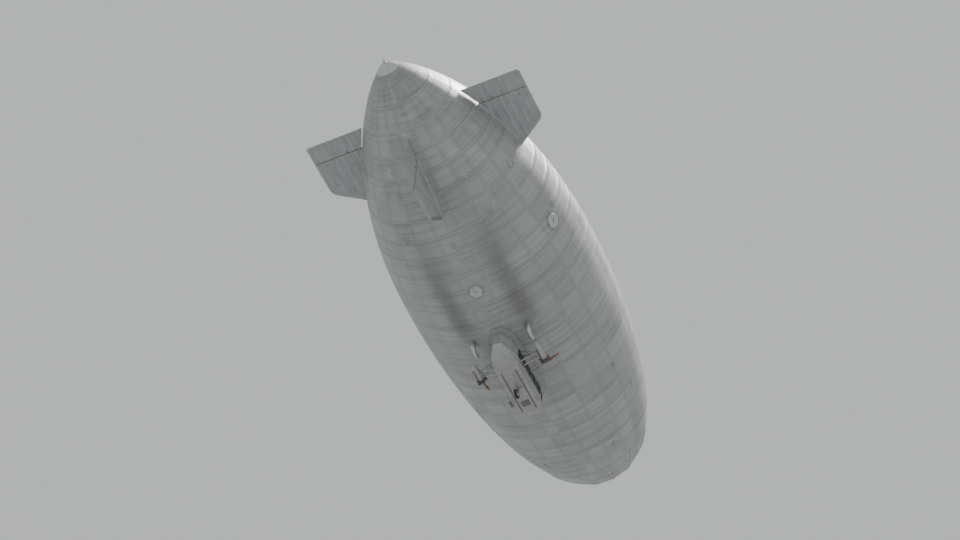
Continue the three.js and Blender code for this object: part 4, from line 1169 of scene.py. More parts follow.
def keel_fittings(shape):
    """Flat pad, two runners, butt straps, an inspection hatch and drain plugs on the bottom."""
    half, first, last, height = KEEL_PAD
    shape.box((-half, first, CAR_KEEL - height), (half, last, CAR_KEEL + 0.01), kind=1)
    # station, half width, depth
    runner = ((-4.22, 0.012, 0.0), (-4.16, 0.03, 0.008), (-4.02, 0.032, 0.026), (-1.34, 0.032, 0.026),
              (-1.2, 0.03, 0.008), (-1.14, 0.012, 0.0))
    for x in (-0.44, 0.44):
        rows = []
        for y, wide, deep in runner:
            section = both(((-1, 0.005), (-1, -deep), (-0.75, -deep - 0.006)))
            rows.append([(x + across * wide, y, CAR_KEEL + up) for across, up in section])
        shape.grid(rows, 1)
        shape.studs(lattice(x, np.arange(-3.95, -1.4, 0.2), CAR_KEEL - 0.032), -Z, 0.007, 0.003, 3)
    for y in (-3.98, -3.05, -2.0, -1.3):
        shape.box((-0.6, y - 0.022, CAR_KEEL - 0.003), (0.6, y + 0.022, CAR_KEEL + 0.004), 0.002)
        shape.studs(lattice(np.arange(-0.57, 0.58, 0.06), (y - 0.013, y + 0.013), CAR_KEEL - 0.002), -Z,
                    0.006, 0.004, 0)
    shape.box((-0.27, -1.82, CAR_KEEL - 0.005), (0.27, -1.46, CAR_KEEL + 0.004), 0.003)
    shape.studs(lattice(np.linspace(-0.25, 0.25, 9), (-1.8, -1.48), CAR_KEEL - 0.004), -Z, 0.006, 0.004, 0)
    shape.studs(lattice((-half - 0.03, half + 0.03), np.linspace(first, last, 6), CAR_KEEL), -Z, 0.006, 0.004,
                0)
    for x, y in ((0.32, -3.25), (-0.32, -3.25), (0.0, -0.98)):
        shape.lathe([(0, -0.004), (0.028, -0.004), (0.028, 0.004), (0.014, 0.006), (0.014, 0.016),
                     (0, 0.016)], (x, y, CAR_KEEL), -Z, 6, 3)


def door_ears(shape):
    """Ears and pins of the hinges, and a rubber stop round the opening."""
    (x, y), reach = DOOR_AXIS, DOOR_KNUCKLE / 2 + 0.002
    head = ((0, 0.018), (0.012, 0.018), (0.013, 0.012), (0.008, 0.01))
    pin = both_ways([(radius, reach + up) for radius, up in head])
    for z in DOOR_HINGE_Z:
        for low in (z - reach - 0.014, z + reach):
            shape.box((CAR_HALF - 0.01, y - 0.04, low), (x + 0.012, y + 0.01, low + 0.014), 0.002, 3)
        shape.lathe(pin, (x, y, z), Z, 16, 3)
    stop = CAR_HALF - CAR_WALL - 0.012
    (first, last), (bottom, top) = DOOR_Y, DOOR_Z
    for low_y, high_y, low_z, high_z in ((first - 0.03, first + 0.012, bottom - 0.03, top + 0.03),
                                         (last - 0.012, last + 0.03, bottom - 0.03, top + 0.03),
                                         (first, last, bottom - 0.03, bottom + 0.012),
                                         (first, last, top - 0.012, top + 0.03)):
        shape.box((stop, low_y, low_z), (stop + 0.009, high_y, high_z), 0.002, 2)


def bow_fittings(shape):
    """Landing lamp, pitot tube, step under the door and two rings at the stern."""
    lamp, way = (0.0, -4.913, -7.42), (0, -0.954, -0.298)
    shape.lathe([(0, -0.01), (0.09, -0.01), (0.108, 0.0), (0.116, 0.03), (0.118, 0.045), (0.112, 0.052),
                 (0.1, 0.052), (0.096, 0.045), (0.06, 0.016), (0, 0.008)], lamp, way, 32, 3)
    shape.lathe([(0, 0.01), (0.014, 0.012), (0.018, 0.026), (0.01, 0.036), (0, 0.038)], lamp, way, 16, 4)
    shape.lathe([(0, 0.062), (0.05, 0.058), (0.1, 0.047), (0.1, 0.044), (0.05, 0.054), (0, 0.058)], lamp, way,
                32, 4)
    pitot = ((-0.72, -4.2), (-0.76, -4.22), (-0.79, -4.28), (-0.79, -4.5), (-0.79, -4.62))
    shape.tube([(x, y, -7.45) for x, y in pitot], (0.011, 0.011, 0.01, 0.009, 0.006), 10, 3)
    shape.box((-0.735, -4.25, -7.48), (-0.685, -4.15, -7.42), kind=3)
    for y in (-3.47, -3.13):
        strap = ((0.66, CAR_KEEL + 0.06), (0.7, CAR_KEEL - 0.02), (0.735, -8.06), (0.75, -8.09))
        shape.tube([(x, y, z) for x, z in strap], 0.011, 8, 3)
    shape.box((0.68, -3.52, -8.105), (0.86, -3.08, -8.085), 0.005, 1)
    shape.studs(lattice(np.arange(0.7, 0.85, 0.024), np.arange(-3.49, -3.1, 0.03), -8.085), Z, 0.006, 0.004,
                1, 5)
    ring = ((0.64, -7.79), (0.64, -7.88), (0.6, -7.905), (0.56, -7.88), (0.56, -7.79))
    for side in (-1, 1):
        shape.tube([(side * x, -0.62, z) for x, z in ring], 0.009, 8, 3)


def door_fittings(shape, wall):
    """Hinge knuckles and straps, a handle and the two lower mouldings."""
    x, y = DOOR_AXIS
    half = DOOR_KNUCKLE / 2
    for z in DOOR_HINGE_Z:
        shape.band(0.0085, 0.015, half, 0.002, (x, y, z), Z, 18, 3)
        shape.box((CAR_HALF - 0.002, y + 0.012, z - half), (x, y + 0.055, z + half), kind=3)
        shape.block((CAR_HALF + 0.003, y + 0.136, z), (0.005, 0.124, half - 0.006), 0.003, 3)
        shape.studs(lattice(CAR_HALF + 0.008, (y + 0.09, y + 0.15, y + 0.21), (z - 0.018, z + 0.018)), X,
                    0.008, 0.005, 3)
    y = DOOR_Y[1] - 0.06
    shape.box((CAR_HALF - 0.002, y - 0.028, -7.29), (CAR_HALF + 0.005, y + 0.028, -7.15), 0.003, 3)
    shape.lathe([(0, -0.005), (0.016, 0.0), (0.016, 0.008), (0.01, 0.012), (0.01, 0.04), (0, 0.042)],
                (CAR_HALF, y, -7.2), X, 16, 3)
    lever = ((0.04, 0.008, -7.2), (0.041, -0.03, -7.2), (0.043, -0.08, -7.203), (0.038, -0.115, -7.208))
    shape.tube(np.array(lever) + (CAR_HALF, y, 0), (0.009, 0.009, 0.0085, 0.006), 10, 3, flat=0.75, up=Z)
    ys = np.linspace(DOOR_Y[0] + 0.02, DOOR_Y[1] - 0.02, 12)
    for z, _ in BELTS[1:]:
        shape.sweep(*wall.lay([(CAR_HALF, y, z) for y in ys], (1.0, 0.0)), MOULDING, 1)


def fairing():
    """Cloth skirt between the roof and the belly, laced along the roof and glued to the hull."""
    length = np.concatenate([[0], np.cumsum(np.linalg.norm(np.diff(RING, axis=0), axis=1))])
    pleats = 0.009 * np.sin(length * 2 * PI / 0.15)
    rows = []
    # share of the height, distance out from the car's plan
    for share, away in ((0.0, -0.2), (0.0, -0.066), (0.03, -0.064), (0.12, -0.055), (0.3, -0.04),
                        (0.5, -0.02), (0.7, 0.012), (0.84, 0.045), (0.94, 0.09), (0.99, 0.14), (1.0, 0.2),
                        (1.0, 0.24)):
        x, y = (RING + RING_OUT * (away + pleats * math.sin(PI * min(share, 0.8)) ** 2)[:, None]).T
        radius = hull_radius(y)
        top = -np.sqrt(np.maximum(radius ** 2 - x ** 2, 0)) - 0.012 - swell(y, np.arctan2(x, -radius))
        rows.append(np.stack([x, y, CAR_ROOF + 0.001 + (top - CAR_ROOF) * share], 1))
    shape = Shape()
    shape.grid([*rows, rows[-1] + (0, 0, 0.03)])
    edge = np.stack([*(RING - RING_OUT * 0.062).T, np.full(len(RING), CAR_ROOF + 0.03)], 1)
    hooks = [(spot, np.array((*RING_OUT[k], 0))) for spot, k in along(edge, 0.14, True)]
    lace = []
    for (spot, way), (after, _) in zip(hooks, hooks[1:] + hooks[:1]):
        shape.stud(spot, way, 0.009, 0.012, 1, 8)
        lace += [spot + way * 0.012, (spot + after) / 2 + way * 0.014 + (0, 0, 0.05)]
    shape.tube(lace, 0.0045, 6, 2, ring=True)
    shape.tube(edge - (0, 0, 0.018), 0.008, 6, 2, ring=True)
    shape.make("car_fairing", "skirt", "envelope_fabric", [ENVELOPE_TRIM, STEEL, CORD], sharp=60)


# Cabin


def floor_boards():
    """Nine boards screwed to six bearers."""
    low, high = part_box("car_floor")
    shape = Shape()
    count = 9
    pitch = (high.x - low.x - 0.02) / count
    rng = np.random.default_rng(3)
    for k in range(count):
        x = low.x + 0.01 + k * pitch
        first = -4.21 if abs(x + pitch / 2) > 0.5 else -4.26
        shape.box((x + 0.002, first, low.z + 0.03), (x + pitch - 0.002, -1.02, FLOOR_TOP), 0.003)
        for y in np.arange(-4.1, -1.05, 0.5):
            screws = [(x + pitch * s, y + rng.uniform(-0.004, 0.004), FLOOR_TOP) for s in (0.25, 0.75)]
            shape.studs(screws, Z, 0.007, 0.0015)
    for y in (-4.0, -3.4, -2.8, -2.2, -1.6, -1.1):
        shape.box((low.x + 0.02, y - 0.03, low.z), (high.x - 0.02, y + 0.03, low.z + 0.03), 0.003, 1)
    shape.make("car_floor", "boards", "wood", [BOARDS, STEEL])


def plump(points, faces, pinned, cap):
    """Cloth filled with pressure: seams and rim are pinned, and no point moves further than the cap."""
    mesh = bpy.data.meshes.new("filling")
    mesh.from_pydata(points.tolist(), [], faces)
    work = linked("filling", mesh)
    work.vertex_groups.new(name="pin").add(pinned.tolist(), 1.0, "REPLACE")
    cloth = work.modifiers.new("fill", "CLOTH")
    cloth.settings.vertex_group_mass = "pin"
    cloth.settings.use_pressure = True
    cloth.settings.uniform_pressure_force = 4.0
    cloth.settings.effector_weights.gravity = 0.0
    cloth.point_cache.frame_start, cloth.point_cache.frame_end = 1, 20
    for step in range(1, 21):
        bpy.context.scene.frame_set(step)
    filled = work.evaluated_get(bpy.context.evaluated_depsgraph_get())
    moved = np.array([v.co for v in filled.data.vertices]) - points
    bpy.data.objects.remove(work)
    bpy.context.scene.frame_set(1)
    far = np.linalg.norm(moved, axis=1, keepdims=True)
    return points + moved * np.minimum(1.0, cap / np.maximum(far, 1e-9))


def cushion(name, half, place, turn, crown, channels):
    """Crowned closed cushion whose sides pull in between its corners, with sewn channels and piping."""
    nu, nv = 2 * round(half[0] / 0.011) + 1, 37
    u, v = np.meshgrid(np.linspace(-1, 1, nu), np.linspace(-1, 1, nv), indexing="ij")
    edge = (1 - np.abs(u) ** 6) ** 0.4 * (1 - np.abs(v) ** 6) ** 0.4
    seams = sum(np.exp(-((u - c) * half[0] / 0.013) ** 2) for c in channels)
    soft = 0.03 * np.sin(PI * (u + 1) * 1.5) * np.sin(PI * (v + 1) * 2.5)
    deep = edge * (1 + crown * (1 - u ** 2) * (1 - v ** 2) - 0.3 * seams + soft)
    x = half[0] * u * (1 - 0.035 * np.cos(PI * v / 2) ** 2 * np.abs(u))
    y = half[1] * v * (1 - 0.035 * np.cos(PI * u / 2) ** 2 * np.abs(v))
    levels = 0.12 + 0.88 * deep, -0.2 - 0.8 * edge ** 0.5
    top, base = (np.stack([x, y, half[2] * level], -1).reshape(-1, 3) for level in levels)
    index = np.arange(nu * nv).reshape(nu, nv)
    quads = np.stack([index[:-1, :-1], index[1:, :-1], index[1:, 1:], index[:-1, 1:]], -1).reshape(-1, 4)
    rim = np.concatenate([index[:, 0], index[-1, 1:], index[-2::-1, -1], index[0, -2:0:-1]])
    after = np.roll(rim, -1)
    sides = np.stack([rim, rim + nu * nv, after + nu * nv, after], 1)
    faces = np.concatenate([quads, quads[:, ::-1] + nu * nv, sides]).tolist()
    sewn = np.flatnonzero(seams.reshape(-1) > 0.8)
    pinned = np.concatenate([rim, rim + nu * nv, sewn, sewn + nu * nv])
    points = plump(np.concatenate([top, base]), faces, pinned, 0.012)
    shape = Shape(turn, place)
    shape.add(points, faces, 0)
    shape.tube(points[rim] * (1.006, 1.006, 1) - (0, 0, half[2] * 0.12), 0.006, 6, 1, ring=True)
    shape.make(name, "", "leather", [LEATHER, PIPING], sharp=70)


def seat(name, x, y, width):
    """Steel-framed seat with a sprung cushion and a raked back."""
    base = Shape(place=(x, y, FLOOR_TOP))
    half = width / 2
    lean = np.array(Matrix.Rotation(math.radians(83), 3, "X"))
    for side in (-half + 0.05, half - 0.05):
        for leg in (((-0.18, 0.0), (-0.19, 0.15), (-0.19, 0.27)),
                    ((0.19, 0.0), (0.19, 0.15), (0.2, 0.3), (0.22, 0.42), (0.28, 0.92))):
            base.tube([(side, along_y, z) for along_y, z in leg], 0.013, 10, 1)
        base.rod((side, -0.19, 0.08), (side, 0.19, 0.08), 0.01)
        for foot in (-0.18, 0.19):
            base.lathe([(0, 0), (0.03, 0), (0.03, 0.005), (0.016, 0.01), (0, 0.01)], (side, foot, 0), Z, 14,
                       1)
    base.box((-half + 0.02, -0.21, 0.262), (half - 0.02, 0.2, 0.3), 0.008)
    base.block(lean @ (0, 0.27, 0) + (0, 0.215, 0.4), (half - 0.02, 0.27, 0.012), 0.008, 0, lean)
    for z in (0.1, 0.2):
        base.rod((0.05 - half, 0.19, z), (half - 0.05, 0.19, z), 0.008)
    base.make(name, "frame", "wood", [SEAT_BOARDS, STEEL])
    count = round(width / 0.13)
    channels = [2 * k / count - 1 for k in range(1, count)]
    cushion(f"{name}_cushion", (half, 0.23, 0.055), (x, y - 0.005, FLOOR_TOP + 0.355), None, 0.25, channels)
    cushion(f"{name}_back", (half, 0.275, 0.045), (x, y + 0.2, FLOOR_TOP + 0.69), lean, 0.2, channels)


def hand_wheel(name, place, radius, axis, post):
    """Laminated wooden rim on three steel spokes, with a finger grip at each spoke."""
    shape = Shape(facing(axis), place)
    shape.tube(radius * circle(48, X, Y), 0.0145, 12, 0, ring=True)
    for tip in circle(6, X, Y):
        shape.tube(np.outer((radius - 0.004, radius + 0.012, radius + 0.02), tip), (0.012, 0.013, 0.006), 10)
    for tip in circle(6, X, Y)[:3]:
        shape.tube(np.outer(np.linspace(-radius, radius, 5), tip), (0.007, 0.008, 0.01, 0.008, 0.007), 10, 1)
    shape.lathe([(0, -0.034), (0.02, -0.034), (0.03, -0.026), (0.034, -0.01), (0.034, 0.01), (0.03, 0.026),
                 (0.02, 0.034), (0, 0.034)], axis=Z, kind=1)
    shape.studs(0.02 * circle(6, X, Y) + (0, 0, 0.031), Z, 0.004, 0.004)
    shape.stand()
    post(shape, *place)
    shape.make(name, "spoked", "wood", [POLISHED_WOOD, STEEL])


def elevator_post(shape, x, y, z):
    shape.box((x - 0.053, y - 0.038, FLOOR_TOP + 0.01), (x - 0.022, y + 0.038, z + 0.028), 0.008, 1)
    shape.box((x - 0.075, y - 0.065, FLOOR_TOP), (x, y + 0.065, FLOOR_TOP + 0.012), 0.003, 1)
    shape.lathe([(0, 0), (0.03, 0), (0.03, 0.014), (0, 0.014)], (x - 0.067, y, z), X, 20, 1)


def rudder_post(shape, x, y, z):
    foot = np.array((x, y - 0.11, FLOOR_TOP))
    shape.tube([(x, y - 0.02, z), (x, y - 0.06, z - 0.35), foot + (0, 0, 0.006)], (0.02, 0.023, 0.027), 14, 1)
    shape.lathe([(0, 0), (0.06, 0), (0.06, 0.006), (0.04, 0.014), (0, 0.016)], foot, Z, 24, 1)
    shape.studs(foot + (0, 0, 0.008) + 0.048 * circle(6, X, Y), Z, 0.006, 0.005)


def instrument_panel():
    """Desk with round dials, a compass and six levers, each leaning its own way; the dials are unlettered."""
    shape = Shape()
    desk = ((-4.645, -7.78), (-4.6, -7.812), (-4.562, -7.826), (-4.562, -7.35), (-4.452, -7.262),
            (-4.472, -7.182), (-4.645, -7.182))
    shape.grid([[(x, y, z) for y, z in desk] for x in (-0.32, -0.315, 0.315, 0.32)])
    for x in (-0.24, -0.12, 0.0, 0.12, 0.24):
        dial(shape, np.array([x, -4.46, -7.222]), unit((0, 0.08, 0.02)), 0.034)
    for k, x in enumerate((-0.22, -0.14, -0.06, 0.06, 0.14, 0.22)):
        foot = np.array([x, -4.56, -7.182])
        tip = foot + (0, 0.02 * math.sin(1.7 * k), 0.085)
        shape.rod(foot, tip, 0.005)
        shape.lathe([(0, -0.012), (0.009, -0.009), (0.012, 0), (0.009, 0.009), (0, 0.012)], tip, Z, 12, 3)
    shape.lathe([(0, 0), (0.045, 0), (0.045, 0.02), (0.038, 0.05), (0.02, 0.066), (0, 0.07)],
                (0, -4.6, -7.182), Z, 24, 1)
    for x in (-0.2, 0.0, 0.2):
        shape.block((x, -4.5615, -7.6), (0.08, 0.003, 0.15), 0.002, 1)
        shape.studs(lattice((x - 0.065, x + 0.065), -4.5585, (-7.735, -7.465)), Y, 0.006, 0.004)
    shape.make("instrument_panel", "fitted", "panel_black", [PANEL_BLACK, STEEL, DIAL_WHITE, KNOB_RED])


def dial(shape, spot, normal, radius):
    """Round dial: bezel, ticks and a needle, each needle turned its own way."""
    shape.lathe([(0, -0.004), (radius, -0.004), (radius + 0.004, 0.002), (radius + 0.003, 0.006),
                 (radius - 0.003, 0.006), (radius - 0.004, 0.002), (0, 0.002)], spot, normal, 28, 1)
    side, over, _ = facing(normal).T * radius
    for degrees in range(-45, 226, 27):
        a = math.radians(degrees)
        way = side * math.cos(a) + over * math.sin(a)
        foot = spot + normal * 0.003
        shape.rod(foot + way * 0.66, foot + way * 0.84, 0.0012, 4, 2)
    a = 0.9 + 40 * spot[0]
    way = side * math.cos(a) + over * math.sin(a)
    shape.tube(spot + normal * 0.004 + np.outer((-0.2, 0, 0.7), way), (0.0022, 0.002, 0.0008), 4, 2)


def cabin_fittings():
    """Hoops between the windows, stringers, a chart shelf and a fire bottle."""
    shape = Shape()
    inner = CAR_HALF - CAR_WALL
    # side, stations of the hoops, first station of the stringers
    for side, ys, first in ((1, (-2.89, -2.18, -1.47), -2.88), (-1, (-3.31, -2.62, -1.93, -1.24), -4.0)):
        for y in ys:
            shape.block((side * (inner - 0.01), y, -7.495), (0.01, 0.015, 0.305))
        for z in (-7.21, -6.41):
            shape.block((side * (inner - 0.009), (first - 0.85) / 2, z), (0.009, (-0.85 - first) / 2, 0.012),
                        0.003)
    x, y = -0.62, -2.7
    shape.tube([(x, y, -7.62), (x, y, -7.5), (x, y, -7.34)], (0.045, 0.048, 0.045), 18, 1)
    shape.tube([(x, y, -7.34), (x, y, -7.31), (x, y, -7.28)], (0.03, 0.012, 0.01), 14, 2)
    for z in (-7.56, -7.4):
        shape.band(0.047, 0.053, 0.008, 0, (x, y, z), Z, 18, 2)
    shape.box((-0.69, -3.2, -7.3), (-0.46, -2.85, -7.275), kind=3)
    shape.make("cabin_fittings", "", "steel", [CAR_TRIM, KNOB_RED, STEEL, BOARDS])


# Engines


def engine(place, x):
    """Five-cylinder radial engine with finned barrels, push rods, intake and exhaust pipes."""
    shape = Shape(place=(x, 0, ENGINE_Z))
    shape.lathe([(0, -1.948), (0.05, -1.95), (0.078, -1.944), (0.085, -1.935), (0.088, -1.915), (0.112, -1.9),
                 (0.124, -1.88), (0.134, -1.87), (0.136, -1.79), (0.128, -1.784), (0.128, -1.74),
                 (0.138, -1.735), (0.138, -1.705), (0, -1.7)], sides=40)
    shape.lathe([(0, -2.04), (0.024, -2.04), (0.028, -2.034), (0.028, -1.94), (0, -1.94)], sides=20, kind=1)
    shape.studs(0.1 * circle(15, Z, X) + (0, -1.906, 0), -Y, 0.008, 0.01)
    for k in range(CYLINDERS):
        cylinder(shape, turn_y(k * 360 / CYLINDERS))
    shape.tube(0.262 * circle(60, Z, X) + (0, -1.735, 0), 0.026, 12, 2, ring=True)
    tail = ((-1.735, -0.242), (-1.66, -0.262), (-1.5, -0.268), (-1.1, -0.262), (-0.86, -0.262),
            (-0.78, -0.272))
    shape.tube(smooth([(0.1, y, z) for y, z in tail], 24), 0.027, 12, 2)
    for y, top in ((-1.42, -0.15), (-0.98, -0.13)):
        shape.box((0.09, y - 0.012, -0.25), (0.11, y + 0.012, top), 0.002, 1)
        shape.band(0.026, 0.032, 0.012, 0, (0.1, y, -0.267), sides=20)
    shape.tube(0.158 * circle(48, Z, X) + (0, -1.768, 0), 0.008, 8, 5, ring=True)
    shape.make(f"engine_{place}", "radial", "engine_metal",
               [CASTING, STEEL, EXHAUST, CYLINDER, BRASS, RUBBER])


def cylinder(shape, turn):
    """Cylinder of the engine, with its turn about the engine's axis."""
    def at(side, *points):
        """Places (across, along the engine's axis, outwards), mirrored for side -1."""
        return np.array(points) * (side, 1, 1) @ turn.T + (0, CYLINDER_Y, 0)

    across, _, out = turn.T
    profile = [(0, 0.1), (0.066, 0.1), (0.066, 0.142), (0.05, 0.146)]
    for r in 0.152 + 0.0102 * np.arange(12):
        profile += [(0.05, r), (0.078, r + 0.001), (0.078, r + 0.0032), (0.05, r + 0.0042)]
    profile += [(0.052, 0.276), (0.06, 0.28)]
    for k in range(4):
        r, wide = 0.284 + k * 0.0115, 0.075 - k * 0.003
        profile += [(0.058, r), (wide, r + 0.001), (wide, r + 0.0045), (0.056, r + 0.0055)]
    profile += [(0.045, 0.333), (0.03, 0.336), (0, 0.336)]
    shape.lathe(profile, (0, CYLINDER_Y, 0), out, 28, 3)
    for side in (-1, 1):
        shape.block(at(side, (0.026, -0.038, 0.32)), (0.015, 0.036, 0.016), 0.005, 0, turn)
        shape.tube(at(side, (0.045, -0.068, 0.105), (0.036, -0.072, 0.2), (0.026, -0.07, 0.302)), 0.0065, 8,
                   1)
        shape.lathe([(0, 0), (0.009, 0), (0.009, 0.012), (0.006, 0.014), (0.0055, 0.034), (0, 0.036)],
                    at(side, (0.062, 0.012, 0.296)), across * side, 8, 4)
        lead = at(side, (0.096, 0.012, 0.296), (0.105, 0.03, 0.28), (0.098, 0.055, 0.22), (0.06, 0.062, 0.15))
        shape.tube(smooth(lead, 10), 0.004, 6, 5)
    stub = at(1, (0.03, 0.035, 0.3), (0.03, 0.07, 0.302), (0.03, 0.092, 0.29), (0.02, 0.095, 0.262))
    shape.tube(smooth(stub, 10), 0.02, 10, 2)
    intake = at(-1, (0.03, 0.035, 0.3), (0.045, 0.066, 0.3), (0.06, 0.078, 0.24), (0.06, 0.09, 0.14),
                (0.045, 0.1, 0.11))
    shape.tube(smooth(intake, 14), 0.014, 10, 1)


def nacelle(place, x):
    """Streamlined cowl with raised joints, louvres, fasteners and a filler cap."""
    shape = Shape(place=(x, 0, ENGINE_Z))
    curve = smooth([(0.15, -1.7), (0.19, -1.64), (0.213, -1.5), (0.216, -1.35), (0.209, -1.2), (0.165, -0.9),
                    (0.09, -0.64), (0.03, -0.525)], 60)
    shape.lathe([(0, -1.699), (0.13, -1.699), *curve, (0.012, -0.512), (0, -0.51)], sides=56)

    def radius(y):
        return np.interp(y, curve[:, 1], curve[:, 0])

    ring = circle(28, Z, X, 0.5)
    for y in (-1.62, -1.22, -0.92):
        shape.band(radius(y) - 0.004, radius(y) + 0.0035, 0.014, 0.001, (0, y, 0), Y, 56, 0)
        shape.studs(ring * (radius(y) + 0.004) + (0, y, 0), ring, 0.005, 0.003)
    for y in (-1.5, -1.14):
        shape.band(radius(y) - 0.004, radius(y) + 0.006, 0.024, 0.002, (0, y, 0), Y, 56)
    shape.lathe([(0, -0.01), (0.045, -0.01), (0.045, 0.008), (0.036, 0.016), (0.012, 0.018), (0.01, 0.03),
                 (0, 0.032)], (0, -1.34, radius(-1.34)), Z, kind=1)
    for degrees in (60, 90, 120, 240, 270, 300):
        shape.stand(turn_y(degrees), (x, 0, ENGINE_Z))
        for y in -1.452 + 0.044 * np.arange(5):
            rows = []
            for share in np.linspace(-1, 1, 7):
                base, rise = radius(y) * 0.985, 0.012 * dome(abs(share))
                arch = ((-0.014, base), (0, radius(y) + rise), (0.006, radius(y) + 0.9 * rise), (0.012, base))
                rows.append([(share * 0.045, y + ahead, up) for ahead, up in arch])
            shape.grid(rows)
    shape.make(f"nacelle_{place}", "cowled", "car_paint", [CAR_PAINT, STEEL])


def propeller(place, x, turn):
    """Laminated wooden two-blade propeller with sheathed leading edges and a bolted hub plate."""
    shape = Shape(turn_y(turn), (x, PROP_Y, ENGINE_Z))
    start = PROP_R - PROP_TIP
    tip = PROP_R - PROP_TIP * (1 - np.sin(np.linspace(0.15, PI / 2, 7)))
    u = -np.cos(turns(28)) / 2
    v = np.sin(turns(28)) / 2 * np.where(u < 0, 1, 1 - u / 2)
    v *= 0.35 + 0.65 * np.sqrt(np.clip(1 - (2 * u) ** 2, 0, 1))
    rows, kinds = [], []
    for radius in (*np.linspace(0.05, start, 30), *tip):
        stations, *columns = np.transpose(PROP_SECTIONS)
        chord, thick, pitch = (np.interp(radius, stations, column) for column in columns)
        across, deep = u * chord * (0.97 * dome((radius - start) / PROP_TIP) + 0.03), v * thick
        c, s = math.cos(math.radians(pitch)), math.sin(math.radians(pitch))
        rows.append(np.stack([across * c - deep * s, across * s + deep * c, np.full(28, radius)], 1))
        kinds.append((np.cos(turns(28, 0.5)) > 0.74) & (radius > 0.42))
    for mirror in ((1, 1, 1), (-1, 1, -1)):
        shape.grid(np.array(rows) * mirror, np.array(kinds[:-1], int), end_kind=1)
    shape.lathe([(0.0285, -0.03), (0.07, -0.032), (0.076, -0.025), (0.078, 0.03), (0.072, 0.04),
                 (0.0285, 0.042)], sides=36, closed=True)
    shape.lathe([(0, -0.12), (0.018, -0.116), (0.034, -0.1), (0.046, -0.07), (0.05, -0.048), (0.072, -0.044),
                 (0.072, -0.03), (0, -0.03)], sides=36, kind=2)
    shape.lathe([(0.0285, 0.04), (0.068, 0.042), (0.066, 0.05), (0.0285, 0.054)], sides=36, kind=2,
                closed=True)
    shape.studs(spots(8, 0.06, (0, -0.044, 0)), -Y, 0.008, 0.012, 2)
    shape.make(f"propeller_{place}", "laminated", "wood", [PROP_WOOD[place], BRASS, STEEL],
               f"{place}_propeller")


def outrigger(place, side):
    """Streamlined struts from the car to a cradle on the nacelle, crossed by bracing wires."""
    shape, struts = Shape(), {}
    steps = np.linspace(0, 1, 12)
    radii = 0.024 + 0.018 * np.clip(np.minimum(steps, 1 - steps) / 0.12, 0, 1)
    for y in STRUT_Y:
        for over, z in zip((1, -1), STRUT_Z):
            foot = np.array([side * (CAR_HALF - 0.02), y, z])
            reach = (side * (ENGINE_X - 0.235), y, ENGINE_Z + over * 0.04) - foot
            struts[y, over] = foot, reach
            shape.tube(foot + np.outer(steps, reach), radii, 16, flat=0.62, up=Y)
            shape.block((side * (CAR_HALF + 0.006), y, z), (0.008, 0.072, 0.058), kind=1)
            shape.studs(lattice(side * (CAR_HALF + 0.014), (y - 0.055, y + 0.055), (z - 0.042, z + 0.042)),
                        side * X, 0.01, 0.009)
            shape.lathe([(0, -0.04), (0.036, -0.04), (0.041, -0.03), (0.041, 0.02), (0.026, 0.034),
                         (0, 0.034)], foot + side * 0.06 * X, reach, 20, 1)

    def wires(a, b, first, last):
        """Two crossing wires between struts, each from a share of one to a share of the other."""
        for (foot, reach), (end, way) in ((struts[a], struts[b]), (struts[b], struts[a])):
            shape.rod(foot + reach * first, end + way * last, 0.004, steps=5)

    for over in (-1, 1):
        wires((STRUT_Y[0], over), (STRUT_Y[1], over), 0.06, 0.94)
    for y in STRUT_Y:
        wires((y, 1), (y, -1), 0.05, 0.72)
    shape.block((side * (ENGINE_X - 0.2275), -1.32, ENGINE_Z), (0.0275, 0.24, 0.07), 0.014, 1)
    line = ((CAR_HALF - 0.01, -1.32, -6.62), (0.95, -1.32, -6.66), (1.4, -1.31, -6.82), (1.72, -1.3, -6.93),
            (ENGINE_X - 0.2, -1.3, -6.95))
    shape.tube(smooth(np.array(line) * (side, 1, 1), 24), 0.012, 8, 2)
    shape.make(f"outrigger_{place}", "braced", "steel", [SILVER_TUBE, STEEL, RUBBER])


def air_scoop(place, side):
    """Bent duct with a rolled lip, band clamps and a butterfly plate inside its mouth."""
    shape = Shape()
    bend = ((-0.57, -6.35), (-0.31, -6.34), (-0.02, -6.12), (0.07, -5.59))
    path = smooth([(side * SCOOP_X, y, z) for y, z in bend], 60)
    ways = ways_along(path, False)

    def ring(k, radius, back=0.0):
        return path[k] - ways[k] * back + radius * circle(32, X, unit(np.cross(ways[k], X)))

    # radius, distance behind the mouth
    lip = ((0.126, 0), (0.134, 0.006), (0.141, 0.018), (0.142, 0.03), (0.135, 0.038), (0.122, 0.04),
           (0.115, 0.034), (0.112, 0.02))
    rows = [ring(k, 0.125) for k in range(59, 0, -1)] + [ring(0, *pair) for pair in lip]
    rows += [ring(k, 0.112) for k in range(12)]
    kinds = np.zeros((len(rows) - 1, 32), int)
    # the inside of the duct and the disc that closes it a little way in are black rubber: painted shade in
    # the mouth
    kinds[-11:] = 1
    shape.grid(rows, kinds, end_kind=1)
    shape.lathe([(0, -0.004), (0.108, -0.004), (0.11, 0), (0.108, 0.004), (0, 0.004)], path[5],
                ways[5] + 0.8 * Z, 32, 2)
    shape.rod(path[5] - 0.135 * X, path[5] + 0.135 * X, 0.008, kind=2)
    y = path[50][1]
    pad(shape, y - 0.01, side * (PI - math.asin(SCOOP_X / hull_radius(y))), disc(0.33, 48), 0.008, 3, rings=4)
    # point of the path, half width of the ring, its material
    for k, wide, kind in ((8, 0.006, 2), (20, 0.004, 0), (26, 0.004, 0), (32, 0.004, 0), (38, 0.004, 0),
                          (44, 0.009, 2), (47, 0.009, 2)):
        shape.tube(ring(k, 0.125 + wide * 0.4), wide, 8, kind, ring=True)
    shape.make(f"air_scoop_{place}", "rolled", "bare_metal", [ALUMINIUM, RUBBER, STEEL, ENVELOPE_TRIM])


# Landing gear


